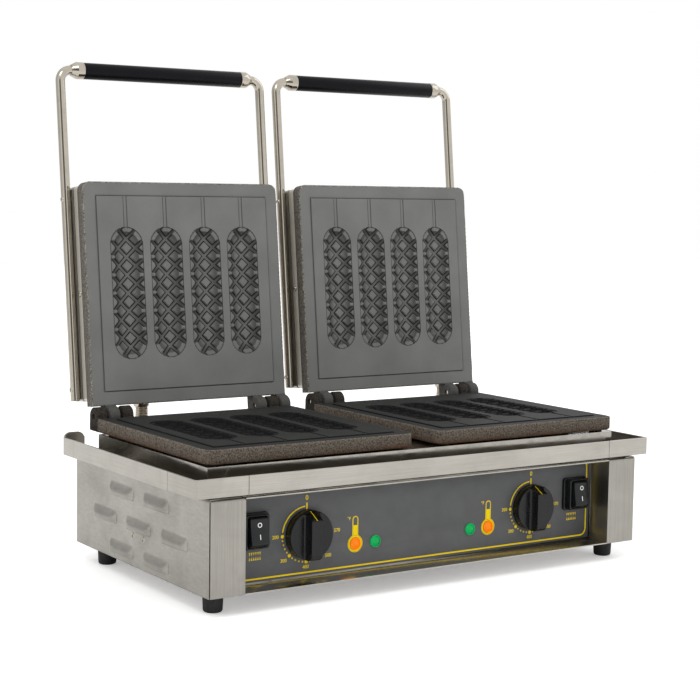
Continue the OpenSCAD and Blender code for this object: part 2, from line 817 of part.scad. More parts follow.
module lower_plate_bolts() {
    color(polished) for (side = [left, right]) at_plate(side) each_lug() {
        seat = -back_z - lug_h - sheet;
        translate([0, 0, seat - bolt_head]) cylinder(r = 2 * bolt_r, h = bolt_head, $fn = 6);
        translate([0, 0, seat - eps]) cylinder(r = bolt_r, h = sheet + bolt_depth - 1);
    }
}

module hinge_pins() {
    inner = knuckle_x(2) - knuckle_w + pin_set_in;
    outer = plate_w / 2 - pin_set_in;
    color(polished) for (side = [left, right]) at_plate(side) {
        bar_x(pin_r, inner, outer);
        bar_x(pin_r, -outer, -inner);
    }
}

// Controls

function capillary_drop() = y_hinge - plate_mid - bulb_l / 2 - capillary_bend;

// Box, bush, capillary tube and bulb of a thermostat
module thermostat(side) {
    box_back = panel_y + sheet + thermostat_d;
    bulb_z = hinge_z - belly_z - element_gap - bulb_r;
    low_z = foot_h + knob_up;
    drop = capillary_drop();
    color("#8c8a86") translate([side * knob_x, 0, 0]) {
        difference() {
            union() {
                block([-thermostat_w / 2, panel_y + sheet, low_z - thermostat_h / 2],
                      [thermostat_w / 2, box_back, low_z + thermostat_h / 2]);
                translate([0, 0, low_z]) bar_y(bush_r, label_y - 2.5, panel_y + sheet + 1);
            }
            translate([0, 0, low_z]) bar_y(shaft_r + run_clear, label_y - 3, panel_y + sheet + 12);
        }
        translate([0, 0, low_z]) bar_y(capillary_r, box_back - 1, drop - capillary_bend);
        translate([0, drop - capillary_bend, low_z + capillary_bend]) rotate([0, 0, 90]) rotate([90, 0, 0])
            rotate([0, 0, -90]) quarter_turn(capillary_bend, capillary_r);
        translate([0, drop, low_z + capillary_bend])
            cylinder(r = capillary_r, h = bulb_z - low_z - 2 * capillary_bend);
        translate([0, drop + capillary_bend, bulb_z - capillary_bend]) rotate([0, 0, 90]) rotate([90, 0, 0])
            rotate([0, 0, 90]) quarter_turn(capillary_bend, capillary_r);
        translate([0, 0, bulb_z]) bar_y(bulb_r, drop + capillary_bend, drop + capillary_bend + bulb_l);
    }
}

module knob_shaft(side) {
    color(polished) translate([side * knob_x, 0, foot_h + knob_up])
        bar_y(shaft_r, label_y - knob_gap - knob_h + 6, panel_y + sheet + 10);
}

// Round disc with a grip bar across it, which slopes down at its upper end; hollow back
module knob(side) {
    slope_y = knob_r - knob_slope;
    color(black) on_panel(side * knob_x, knob_up) translate([0, 0, knob_gap]) difference() {
        cylinder(r = knob_r, h = knob_h);
        for (i = [0, 1]) mirror([i, 0, 0])
            block([knob_bar / 2, -knob_r - 1, knob_disc], [knob_r + 1, knob_r + 1, knob_h + 1]);
        rotate([90, 0, 90]) linear_extrude(knob_bar + 2, center = true)
            polygon([[slope_y, knob_h], [knob_r + 1, knob_disc], [knob_r + 1, knob_h + 1],
                     [slope_y, knob_h + 1]]);
        translate([0, 0, -1]) cylinder(r = bush_r + 4, h = 5);
        translate([0, 0, -1]) cylinder(r = shaft_r + run_clear, h = knob_h - 5);
    }
}

module at_switch(side) {
    translate([side * switch_x, label_y - pivot_out, foot_h + switch_up]) children();
}

module switch_housing(side) {
    half_w = housing_w() / 2;
    half_h = housing_h() / 2;
    cavity_x = rocker_w / 2 + rocker_gap;
    cavity_r = rocker_r + rocker_gap;
    mouth = sqrt(cavity_r * cavity_r - pow(frame_out - pivot_out, 2));
    color(black) at_switch(side) difference() {
        union() {
            block([-bezel_w / 2, pivot_out - bezel_t, -bezel_h / 2], [bezel_w / 2, pivot_out, bezel_h / 2]);
            block([-half_w, pivot_out - frame_out, -half_h], [half_w, pivot_out + housing_d, half_h]);
        }
        bar_x(cavity_r, -cavity_x, cavity_x);
        block([-cavity_x, pivot_out - frame_out - 1, -mouth], [cavity_x, 0, mouth]);
        bar_x(rocker_pin_r + run_clear, -cavity_x - rocker_pin_l, cavity_x + rocker_pin_l);
    }
}

module rocker(side) {
    color(black) at_switch(side) rotate([-rocker_tilt, 0, 0]) {
        intersection() {
            bar_x(rocker_r, -rocker_w / 2, rocker_w / 2);
            block([-rocker_w, -rocker_face, -rocker_r], [rocker_w, rocker_r / 2, rocker_r]);
        }
        bar_x(rocker_pin_r, -rocker_w / 2 - rocker_pin_l, rocker_w / 2 + rocker_pin_l);
    }
}

// A pilot lamp on the label: body behind the panel, flange and domed lens in front
module lamp() {
    lens_edge = 1.5;
    rotate_extrude() polygon([[0, -lamp_l], [lamp_r, -lamp_l], [lamp_r, 0], [lens_r, 0], [lens_r, lens_edge],
                              [lens_r * 0.7, lens_out - 0.4], [lens_r * 0.3, lens_out], [0, lens_out]]);
}

module orange_lamps() {
    color("#f08a28") for (side = [left, right]) on_panel(side * orange_x, lamp_up) lamp();
}

module green_lamps() {
    color("#3f9e55") for (side = [left, right]) on_panel(side * green_x, lamp_up) lamp();
}

module terminal_block() {
    pole_pitch = 12;
    poles = 5;
    length = poles * pole_pitch;
    color("#d8d2c4") translate([0, (panel_y + body_back) / 2, foot_h + sheet]) difference() {
        block([-length / 2, -11, 0], [length / 2, 11, 18]);
        for (i = [0 : poles - 1], y = [-5, 5]) translate([(i - (poles - 1) / 2) * pole_pitch, y, 8])
            cylinder(r = 2.5, h = 12);
    }
}

// Glands and conduits

// A gland through a wall: it points along +Z, the wall's outer face is at z = 0
module gland(bore) {
    difference() {
        union() {
            translate([0, 0, -sheet - nut_t - 1]) cylinder(r = gland_thread_r, h = sheet + nut_t + 2);
            translate([0, 0, -sheet - nut_t]) cylinder(r = gland_r, h = nut_t, $fn = 6);
            cylinder(r = gland_r + 1, h = gland_l / 2, $fn = 6);
            cylinder(r = gland_r, h = gland_l);
        }
        translate([0, 0, -sheet - nut_t - 2]) cylinder(r = bore, h = gland_l + sheet + nut_t + 3);
    }
}

module cable_gland() {
    color(black) translate([cable_x, body_back, hose_z]) rotate([-90, 0, 0]) gland(cable_r);
}

module base_conduit_glands() {
    color(polished) for (side = [left, right])
        translate([hose_x(side), body_back, hose_z]) rotate([-90, 0, 0]) gland(hose_bore_r);
}

module lid_conduit_gland(side) {
    color(polished) at_lid(side) translate([hose_x(side) - side * lid_x, -lid_near, gland_z])
        rotate([-90, 0, 0]) gland(hose_bore_r);
}

// Ribbed flexible conduit: rings of two radii along its centre line, with a plain bore inside
module conduit(side) {
    x = hose_x(side);
    n = 2 * rib_count;
    bore_every = 4;
    m = n / bore_every;
    outer = [for (i = [0 : n]) each hose_ring(x, hose_l * i / n, i % 2 == 0 ? hose_r - rib_depth : hose_r)];
    inner = [for (i = [0 : m]) each hose_ring(x, hose_l * i / m, hose_bore_r)];
    k = hose_sides;
    o = len(outer);
    function quad(a, b, c, d) = [[a, b, c], [a, c, d]];
    faces = [
        for (i = [0 : n - 1], j = [0 : k - 1]) let (s = (j + 1) % k)
            each quad(i * k + j, (i + 1) * k + j, (i + 1) * k + s, i * k + s),
        for (i = [0 : m - 1], j = [0 : k - 1]) let (s = (j + 1) % k)
            each quad(o + i * k + j, o + i * k + s, o + (i + 1) * k + s, o + (i + 1) * k + j),
        for (j = [0 : k - 1]) let (s = (j + 1) % k) each quad(j, s, o + s, o + j),
        for (j = [0 : k - 1]) let (s = (j + 1) % k)
            each quad(n * k + s, n * k + j, o + m * k + j, o + m * k + s)
    ];
    color("#a39d92") polyhedron(points = concat(outer, inner), faces = faces);
}

// Lids

// A rectangle with round corners over a lid's length, extruded from z0 to z1
module lid_slab(half_w, inset, r, z0, z1) {
    translate([0, -lid_mid, z0]) linear_extrude(z1 - z0) soft_rect(2 * half_w, lid_len - 2 * inset, r);
}

module lid_frame(side) {
    wall = sheet;
    neck_x = band_x - neck_in;
    color(steel) at_lid(side) difference() {
        union() {
            lid_slab(band_x, 0, cover_r, back_z, back_z + band_h);
            lid_slab(neck_x, neck_in, cover_r, back_z, web_low + eps);
            lid_slab(cover_x - sheet - rod_gap, sheet + rod_gap, cover_r - sheet, web_low, web_z);
        }
        lid_slab(band_x - wall, wall, cover_r - wall, back_z - 1, back_z + band_h - wall);
        lid_slab(neck_x - wall, neck_in + wall, cover_r - wall, back_z - 1, web_low);
        rotate([0, 180, 0]) terminal_slots(-web_low);
        each_lug() translate([0, 0, back_z - 1]) cylinder(r = lug_r + run_clear, h = lug_h + 1);
        each_lug() translate([0, 0, web_low - 1]) cylinder(r = bolt_r + run_clear, h = sheet + 2);
        each_rod_screw() bar_x(2 * screw_r + 1, cover_x - sheet - nut_t - 2, cover_x);
        each_band_screw() bar_x(screw_r + run_clear, -2 * sheet, 2 * sheet);
    }
}

module each_band_screw() {
    for (i = [-1, 1]) translate([i * band_x, -lid_mid, back_z + band_h / 2])
        rotate([0, 0, i < 0 ? 180 : 0]) children();
}

module each_rod_screw() {
    for (i = [-1, 1], e = [lid_near + rod_screw_in, lid_far - rod_screw_in])
        translate([0, -e, rod_z]) rotate([0, 0, i < 0 ? 180 : 0]) children();
}

module lid_cover(side) {
    color(steel) at_lid(side) difference() {
        lid_slab(cover_x, 0, cover_r, cover_z, cover_z + cover_h);
        lid_slab(cover_x - sheet, sheet, cover_r - sheet, cover_z - 1, cover_z + cover_h - sheet);
        translate([hose_x(side) - side * lid_x, 0, gland_z])
            bar_y(gland_thread_r + run_clear, -lid_near - sheet - 1, -lid_near + 1);
        each_rod_screw() bar_x(screw_r + run_clear, cover_x - 2 * sheet, cover_x + 1);
    }
}

module handle_rod(side) {
    reach = grip_reach - rod_bend;
    color(polished) at_lid(side) translate([0, 0, rod_z]) difference() {
        union() {
            for (i = [-1, 1]) {
                translate([i * rod_x, 0, 0]) bar_y(rod_r, -reach, -rod_start);
                translate([i * (rod_x - rod_bend), -reach, 0]) rotate([0, 0, i < 0 ? 180 : 270])
                    quarter_turn(rod_bend, rod_r);
            }
            translate([0, -grip_reach, 0]) bar_x(rod_r, -rod_x + rod_bend, rod_x - rod_bend);
        }
        translate([0, 0, -rod_z]) each_rod_screw() {
            bar_x(screw_r + run_clear, cover_x - 1, rod_x + rod_r + 1);
            bar_x(screw_head_r + run_clear, screw_seat_x, rod_x + rod_r + 1);
        }
    }
}

module handle_grip(side) {
    color(black) at_lid(side) translate([0, -grip_reach, rod_z]) difference() {
        bar_x(grip_d / 2, -grip_l / 2, grip_l / 2);
        bar_x(rod_r + run_clear, -grip_l, grip_l);
    }
}

module handle_collars(side) {
    plain = collar_l - collar_taper;
    tip_r = rod_r + 0.6;
    color(polished) at_lid(side) translate([0, -grip_reach, rod_z]) for (i = [-1, 1])
        rotate([0, i * 90, 0]) translate([0, 0, grip_l / 2]) difference() {
            union() {
                cylinder(r = collar_r, h = plain);
                translate([0, 0, plain - eps]) cylinder(r1 = collar_r, r2 = tip_r, h = collar_taper);
            }
            translate([0, 0, -1]) cylinder(r = rod_r + run_clear, h = collar_l + 2);
        }
}

// Rod screws with nuts inside the cover, band screws and the bolts that hold the upper plate
module lid_screws(side) {
    color(polished) at_lid(side) {
        each_rod_screw() {
            bar_x(screw_head_r, screw_seat_x, screw_seat_x + screw_head_t);
            bar_x(screw_r, cover_x - sheet - nut_t - 1, screw_seat_x + eps);
            translate([cover_x - sheet - nut_t, 0, 0]) rotate([0, 90, 0])
                cylinder(r = 2 * screw_r, h = nut_t, $fn = 6);
        }
        each_band_screw() {
            bar_x(screw_head_r - 0.5, 0, screw_head_t / 2);
            bar_x(screw_r, -sheet - 2, eps);
        }
        each_lug() {
            translate([0, 0, web_z]) cylinder(r = 2 * bolt_r, h = bolt_head, $fn = 6);
            translate([0, 0, back_z + lug_h - bolt_depth + 1])
                cylinder(r = bolt_r, h = web_z - back_z - lug_h + bolt_depth - 1 + eps);
        }
    }
}

rim_front();
rim_corner_piece(left);  // rim_corner_left
rim_corner_piece(right);  // rim_corner_right
rim_side(left);  // rim_side_left
rim_side(right);  // rim_side_right
drip_tray();
plateau();
side_panel(left);  // side_panel_left
side_panel(right);  // side_panel_right
rear_panel();
bottom_pan();
front_post(left);  // front_post_left
front_post(right);  // front_post_right
panel_hood();
control_panel();
panel_label();
feet();
casing_screws();
lower_plate(left);  // lower_plate_left
lower_plate(right);  // lower_plate_right
lower_element(left);  // lower_element_left
lower_element(right);  // lower_element_right
lower_reflectors();
lower_plate_bolts();
hinge_pins();
thermostat(left);  // thermostat_left
thermostat(right);  // thermostat_right
switch_housing(left);  // switch_housing_left
switch_housing(right);  // switch_housing_right
orange_lamps();
green_lamps();
terminal_block();
cable_gland();
base_conduit_glands();
conduit(left);  // conduit_left
conduit(right);  // conduit_right
upper_plate(left);  // upper_plate_left
upper_plate(right);  // upper_plate_right
upper_element(left);  // upper_element_left
upper_element(right);  // upper_element_right
lid_frame(left);  // lid_frame_left
lid_frame(right);  // lid_frame_right
lid_cover(left);  // lid_cover_left
lid_cover(right);  // lid_cover_right
handle_rod(left);  // handle_rod_left
handle_rod(right);  // handle_rod_right
handle_grip(left);  // handle_grip_left
handle_grip(right);  // handle_grip_right
handle_collars(left);  // handle_collars_left
handle_collars(right);  // handle_collars_right
lid_screws(left);  // lid_screws_left
lid_screws(right);  // lid_screws_right
lid_conduit_gland(left);  // lid_conduit_gland_left
lid_conduit_gland(right);  // lid_conduit_gland_right
knob(left);  // knob_left
knob(right);  // knob_right
knob_shaft(left);  // knob_shaft_left
knob_shaft(right);  // knob_shaft_right
rocker(left);  // rocker_left
rocker(right);  // rocker_right
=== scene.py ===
"""Looks of a double hot dog waffle maker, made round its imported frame.

Every new piece is a surface worked out with numpy, in millimetres and in the frame's axes: +X right, +Y back,
+Z up. Pieces of a lid are worked out in the lid's own coordinates: x across from its middle, e along it from
the hinge axis, h behind its face.
"""
import json
import math

import bmesh
import bpy
import numpy as np
from bpy.props import FloatProperty, FloatVectorProperty, IntProperty, PointerProperty
from mathutils import Matrix, Vector

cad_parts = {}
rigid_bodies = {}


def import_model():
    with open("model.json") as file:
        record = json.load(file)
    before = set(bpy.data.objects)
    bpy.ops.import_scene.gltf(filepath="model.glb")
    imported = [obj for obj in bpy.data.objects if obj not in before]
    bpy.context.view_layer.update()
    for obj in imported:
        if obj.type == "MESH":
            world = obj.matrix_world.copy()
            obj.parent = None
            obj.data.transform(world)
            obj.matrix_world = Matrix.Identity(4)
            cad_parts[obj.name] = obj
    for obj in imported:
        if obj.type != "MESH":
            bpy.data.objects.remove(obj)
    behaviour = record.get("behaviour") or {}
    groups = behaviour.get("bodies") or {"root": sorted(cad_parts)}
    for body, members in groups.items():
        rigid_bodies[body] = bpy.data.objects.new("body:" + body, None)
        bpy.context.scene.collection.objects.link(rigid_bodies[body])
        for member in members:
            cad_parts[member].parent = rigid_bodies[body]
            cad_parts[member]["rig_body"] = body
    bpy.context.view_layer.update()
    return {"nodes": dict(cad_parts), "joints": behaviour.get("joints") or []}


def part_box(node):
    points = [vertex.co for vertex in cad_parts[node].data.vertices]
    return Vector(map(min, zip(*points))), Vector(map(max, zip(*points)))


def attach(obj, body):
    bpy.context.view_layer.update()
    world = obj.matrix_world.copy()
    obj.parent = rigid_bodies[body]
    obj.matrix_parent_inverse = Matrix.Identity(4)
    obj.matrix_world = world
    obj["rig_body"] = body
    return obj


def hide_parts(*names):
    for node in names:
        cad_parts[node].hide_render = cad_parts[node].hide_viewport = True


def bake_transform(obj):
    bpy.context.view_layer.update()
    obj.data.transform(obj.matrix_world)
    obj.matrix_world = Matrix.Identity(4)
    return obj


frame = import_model()

bl_info = {
    "name": "Hot dog waffle maker",
    "version": (1, 0, 0),
    "blender": (4, 5, 0),
    "location": "3D View > Sidebar > Waffle maker",
    "description": "Builds the finished surfaces of a double hot dog waffle maker",
    "category": "Add Mesh",
}

MM = 0.001
SIDES = {"left": -1, "right": 1}
BOTH = (-1, 1)
WHITE = (1.0, 1.0, 1.0, 1.0)
DONE = {"FINISHED"}


# Places taken from the frame, in millimetres

def span(node):
    """Lowest and highest corner of a CAD node."""
    low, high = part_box(node)
    return np.array(low) / MM, np.array(high) / MM


JOINTS = {joint["name"]: joint for joint in frame["joints"]}
HINGE, KNOB, PIVOT = (np.array(JOINTS[name]["pos_m"]) / MM
                      for name in ("lid_right_hinge", "knob_right_turn", "rocker_right_tilt"))
LEAN = math.radians(JOINTS["lid_right_hinge"]["range_deg"][1] - 90)
RIM_LOW, RIM_HIGH = span("rim_front")
CORNER_LOW, CORNER_HIGH = span("rim_corner_right")
RIM_SIDE_LOW, RIM_SIDE_HIGH = span("rim_side_right")
POST_LOW, POST_HIGH = span("front_post_right")
PANEL_LOW, PANEL_HIGH = span("side_panel_right")
LABEL_LOW, LABEL_HIGH = span("panel_label")
PLATE_LOW, PLATE_HIGH = span("lower_plate_right")
FEET_LOW, FEET_HIGH = span("feet")
LAMPS = {colour: span(colour + "_lamps") for colour in ("orange", "green")}
GLAND_LOW, GLAND_HIGH = span("base_conduit_glands")

# Sizes of the castings
PLATE_W = PLATE_HIGH[0] - PLATE_LOW[0]
PLATE_FAR = HINGE[1] - PLATE_LOW[1]
PLATE_NEAR = PLATE_FAR - PLATE_W
PLATE_MID = (PLATE_NEAR + PLATE_FAR) / 2
PLATE_CORNER_R = 9.0
KNUCKLE_R = PLATE_HIGH[1] - HINGE[1]
KNUCKLE_W, KNUCKLE_GAP, PIN_HOLE_R = 11.6, 3.5, 3.05
FACE_H, BACK_H = 0.2, 15.2
FACE_STEP, SCORE = 1.0, 0.6
FACE_HALF = PLATE_W / 2 - 15
MOULDS, MOULD_PITCH = 4, 46.4
MOULD_W, MOULD_L, MOULD_DEPTH = 37.4, 138.4, 5.6
MOULD_R = ((MOULD_W / 2) ** 2 + MOULD_DEPTH ** 2) / (2 * MOULD_DEPTH)
MOULD_RUN = (MOULD_L - MOULD_W) / 2
PAD_REACH, PAD_DEPTH, PAD_COLUMN, PAD_ROW, PAD_SHIFT = 14.2, 3.2, 9.7, 9.5, -1.5
# PAD_EDGE shapes the pads' walls; the other two place the painted black shade line round each pad, and its
# half width
PAD_EDGE, PAD_SHADE_LINE, PAD_SHADE_LINE_HALF = (0.27, 0.34), 0.365, 0.04
LEDGE, TONGUE_W = 0.4, 3.4
STRIP_FROM, STRIP_TO = math.radians(17), math.radians(53)
STICK_W, STICK_DEPTH = 3.9, 0.4
BELLY_X, BELLY_E, BELLY_H = 94.3, 75.2, 21.2
LUG_R, LUG_H, LUG_INSET = 7.0, 2.0, 13.5

# Sizes of the lids
LID_NEAR, LID_FAR = 15.0, 241.0
LID_MID, LID_HALF = (LID_NEAR + LID_FAR) / 2, (LID_FAR - LID_NEAR) / 2
SHEET = 1.2
BAND_X, BAND_TOP = 115.5, 26.2
NECK_IN, WEB_LOW, WEB_TOP = 3.5, 29.6, 30.8
COVER_X, COVER_LOW, COVER_TOP, COVER_R, COVER_FOLD = 115.9, 28.2, 52.2, 4.0, 2.6
ROD_X, ROD_H, ROD_R, ROD_BEND = 121.0, 34.0, 5.0, 12.0
ROD_START, GRIP_E = 16.0, 364.5
GRIP_HALF, GRIP_R = 95.0, 8.7
COLLAR_L, COLLAR_TAPER, COLLAR_R, COLLAR_TIP_R = 14.0, 6.0, 9.0, 5.6
ROD_SCREWS_E, ROD_SCREW_SEAT, BAND_SCREW_H = (28.0, 228.0), 124.5, 20.7

# Sizes of the conduits
HOSE_R, HOSE_BORE = 7.0, 5.0
GLAND_L, GLAND_H = 9.0, 41.46
HOSE_X = {"left": -173.0, "right": 232.0}
RINGS_PER_RIB = 8

# Sizes of the casing
POST_T, POST_FOLD, POST_FLANGE = 1.5, 3.0, 9.0
TAB_RUN, TAB_R, RIM_BEND, RIM_SEAM = 26.8, 8.0, 2.4, 0.12
LOUVRE_L, LOUVRE_H, LOUVRE_RISE, LOUVRE_DROP = 49.0, 13.0, 4.0, 2.2
LOUVRE_PITCH, LOUVRE_ROW, LOUVRE_ROWS = 75.0, 29.0, {-1: 2, 0: 3, 1: 2}
SIDE_SCREW_PITCH = 22.4
FOOT_R = 10.0
BODY_FRONT, BODY_BACK = POST_LOW[1], PANEL_HIGH[1]
BODY_X, BODY_LOW, BODY_TOP = POST_HIGH[0], POST_LOW[2], POST_HIGH[2]
BODY_MID_Y, BODY_MID_Z = (BODY_FRONT + BODY_BACK) / 2, (BODY_LOW + BODY_TOP) / 2

# Sizes of the controls
KNOB_R, KNOB_H, KNOB_DISC, KNOB_GAP, KNOB_ROLL = 24.0, 19.5, 9.5, 0.8, 0.8
KNOB_BAR, KNOB_FILLET, KNOB_SLOPE, KNOB_LOW, KNOB_END = 12.5, 3.0, 8.4, 4.6, 16.0
ROCKER_W, ROCKER_R, ROCKER_FACE, ROCKER_TILT = 19.5, 14.75, 8.5, math.radians(8.0)
LENS_R = 6.0
PANEL_X, PANEL_Y, LABEL_Y = POST_LOW[0], POST_HIGH[1], LABEL_LOW[1]
PANEL_AXES = np.array([[1.0, 0, 0], [0, 0, 1], [0, -1, 0]])
INK, DIAL_R, HEAT_Z, THERMOMETER_TOP = 0.07, 27.0, 46.5, 73.4


# Shapes

class Shape:
    """Points in millimetres, the quads between them and the caps that close them."""

    def __init__(self, points, quads, caps=()):
        self.points = np.asarray(points, float).reshape(-1, 3)
        self.quads = np.asarray(quads, int).reshape(-1, 4)
        self.caps = [np.asarray(cap, int) for cap in caps]

    def placed(self, origin=(0, 0, 0), axes=np.eye(3)):
        """The same shape with its x, y and z laid along the rows of axes, from origin."""
        return self.mapped(lambda points: points @ np.asarray(axes, float) + np.asarray(origin, float))

    def mapped(self, function):
        """The same shape with its points sent through a function."""
        return Shape(function(self.points), self.quads, self.caps)

    def mesh(self, name):
        """A new mesh of the shape, in metres."""
        mesh = bpy.data.meshes.new(name)
        faces = self.quads.tolist() + [cap.tolist() for cap in self.caps]
        mesh.from_pydata((self.points * MM).tolist(), [], faces)
        return mesh


def joined(shapes):
    """Several shapes as one, each keeping its own points."""
    starts = np.cumsum([0] + [len(shape.points) for shape in shapes])
    return Shape(np.concatenate([shape.points for shape in shapes]),
                 np.concatenate([shape.quads + start for shape, start in zip(shapes, starts)]),
                 [cap + start for shape, start in zip(shapes, starts) for cap in shape.caps])


def grid_quads(rows, columns, wrap_rows=False, wrap_columns=False):
    """Quads between neighbouring points of a grid of rows by columns points."""
    row, column = np.meshgrid(np.arange(rows if wrap_rows else rows - 1),
                              np.arange(columns if wrap_columns else columns - 1), indexing="ij")
    below, beside = (row + 1) % rows, (column + 1) % columns
    corners = [(row, column), (row, beside), (below, beside), (below, column)]
    return np.stack([r * columns + c for r, c in corners], -1).reshape(-1, 4)


def loft(rings, loop=False):
    """A skin over rings of equally many points, capped at both ends or, as a loop, closed on itself."""
    rings = np.asarray(rings, float)
    count, around = rings.shape[:2]
    ends = [] if loop else [np.arange(around)[::-1], np.arange(around) + (count - 1) * around]
    return Shape(rings, grid_quads(count, around, loop, True), ends)


def border(rows, columns):
    """Numbers of the points round the edge of a grid, once round."""
    index = np.arange(rows * columns).reshape(rows, columns)
    return np.concatenate([index[:-1, 0], index[-1, :-1], index[:0:-1, -1], index[0, :0:-1]])


def walled(grid, rings):
    """A grid of points closed behind: walls run from its edge over the rings, and a cap fills the last."""
    rows, columns, _ = grid.shape
    first, around = rows * columns, len(rings[0])
    chain = [border(rows, columns)] + [first + k * around + np.arange(around) for k in range(len(rings))]
    walls = [np.stack([u, np.roll(u, -1), np.roll(v, -1), v], -1) for u, v in zip(chain, chain[1:])]
    return Shape(np.concatenate([grid.reshape(-1, 3), *rings]),
                 np.concatenate([grid_quads(rows, columns), *walls]), [chain[-1]])


def smooth(start, stop, value):
    """Smooth step: 0 up to start, 1 from stop on, 3t^2 - 2t^3 between."""
    t = np.clip((value - start) / (stop - start), 0, 1)
    return t * t * (3 - 2 * t)


def bell(value, width):
    """A bell round 0: exp(-(value / width)^2)."""
    return np.exp(-(value / width) ** 2)


def rolled(margin, radius):
    """Height of a quarter circle at a margin in from its edge, sqrt(r^2 - (r - margin)^2), then level."""
    return np.sqrt(np.maximum(radius ** 2 - np.clip(radius - margin, 0, radius) ** 2, 0))


def spread(*runs):
    """Sorted grid lines from (start, stop, step) runs, without near doubles."""
    lines = [np.linspace(a, b, max(2, int(round(abs(b - a) / step)) + 1)) for a, b, step in runs]
    lines = np.sort(np.concatenate(lines))
    return lines[np.concatenate([[True], np.diff(lines) > 0.12])]


def once_round(count):
    """Equal steps of angle once round a circle."""
    return np.linspace(0, 2 * np.pi, count, endpoint=False)


def spun(radius, level, angle):
    """Points round the z axis: x = r cos a, y = r sin a, z = level."""
    return np.stack([radius * np.cos(angle), radius * np.sin(angle), level + 0 * angle], -1)


def arc(centre, radius, start, stop, count):
    """Points on an arc in a plane, between two angles in degrees."""
    angle = np.radians(np.linspace(start, stop, count))
    return np.stack([centre[0] + radius * np.cos(angle), centre[1] + radius * np.sin(angle)], -1)


def rounded_rect(half_x, half_y, radius, steps=6):
    """Closed outline of a rectangle whose corners are quarter circles."""
    x, y = half_x - radius, half_y - radius
    corners = [((x, y), 0), ((-x, y), 90), ((-x, -y), 180), ((x, -y), 270)]
    return np.concatenate([arc(centre, radius, angle, angle + 90, steps) for centre, angle in corners])


def ring_stack(outlines, levels):
    """A loft over flat outlines in x and y, each at its own level z."""
    return loft([np.column_stack([outline, np.full(len(outline), level)])
                 for outline, level in zip(outlines, levels)])


def lathe(profile, sides=48, loop=False):
    """A profile of (z, radius) turned about the z axis."""
    profile = np.asarray(profile, float)
    return loft(spun(profile[:, 1:], profile[:, :1], once_round(sides)), loop)


def mitred(path, closed=False):
    """Left-hand offset directions of a plane path, longer at corners so that a sweep keeps its width."""
    path = np.asarray(path, float)
    step = np.roll(path, -1, 0) - path
    step /= np.linalg.norm(step, axis=1, keepdims=True) + 1e-12
    ahead, behind = step.copy(), np.roll(step, 1, 0)
    if not closed:
        ahead[-1], behind[0] = behind[-1], ahead[0]
    left_a, left_b = (np.stack([-way[:, 1], way[:, 0]], -1) for way in (ahead, behind))
    return (left_a + left_b) / (1 + np.sum(left_a * left_b, 1, keepdims=True))


def sweep(profile, path, lift=0.0, weight=0.0):
    """A profile of (inset, z) carried along a plane path; points with a weight rise by the path's lift."""
    path, profile = np.asarray(path, float), np.asarray(profile, float)
    lift, weight = np.broadcast_to(lift, len(path)), np.broadcast_to(weight, len(profile))
    plan = path[:, None, :] + mitred(path)[:, None, :] * profile[None, :, :1]
    level = profile[None, :, 1] + lift[:, None] * weight[None, :]
    return loft(np.concatenate([plan, level[:, :, None]], 2))


def tube(path, radius, normal, sides, bore=None):
    """Rings of a given radius round a path that lies in the plane across normal; a bore makes it a pipe."""
    along = np.gradient(path, axis=0)
    along /= np.linalg.norm(along, axis=1, keepdims=True)
    across, angle = np.cross(along, normal), once_round(sides)
    spoke = across[:, None, :] * np.cos(angle)[None, :, None] + normal * np.sin(angle)[None, :, None]
    rings = path[:, None, :] + radius[:, None, None] * spoke
    if bore is None:
        return loft(rings)
    inside = path[::-1, None, :] + bore * spoke[::-1]
    return loft(np.concatenate([rings, inside]), loop=True)


def on_lid(side):
    """Turns lid coordinates x, e, h into the frame's: the open lid leans back from its hinge axis."""
    def turn(points):
        x, e, h = points.T
        return np.stack([SIDES[side] * HINGE[0] + x,
                         HINGE[1] + e * math.sin(LEAN) + h * math.cos(LEAN),
                         HINGE[2] + e * math.cos(LEAN) - h * math.sin(LEAN)], -1)
    return turn


def on_casting(side, upper):
    """Turns a casting's x, e, h into the frame's: a lower one lies face up, an upper one is turned over."""
    def turn(points):
        x, e, h = points.T
        if upper:
            return on_lid(side)(np.stack([-x, e, h], -1))
        return np.stack([SIDES[side] * HINGE[0] + x, HINGE[1] - e, HINGE[2] - h], -1)
    return turn


# Materials

def srgb(code):
    """Linear colour of an sRGB hex value."""
    value = np.array([int(code[i:i + 2], 16) for i in (1, 3, 5)]) / 255
    linear = np.where(value <= 0.04045, value / 12.92, ((value + 0.055) / 1.055) ** 2.4)
    return (*linear, 1.0)


def tint(colour, factor):
    """A colour made lighter or darker by a factor."""
    return (*(min(1.0, channel * factor) for channel in colour[:3]), 1.0)


def per_mm(size):
    """Frequency, per metre, of a pattern whose features are this many millimetres wide."""
    return 1000.0 / size


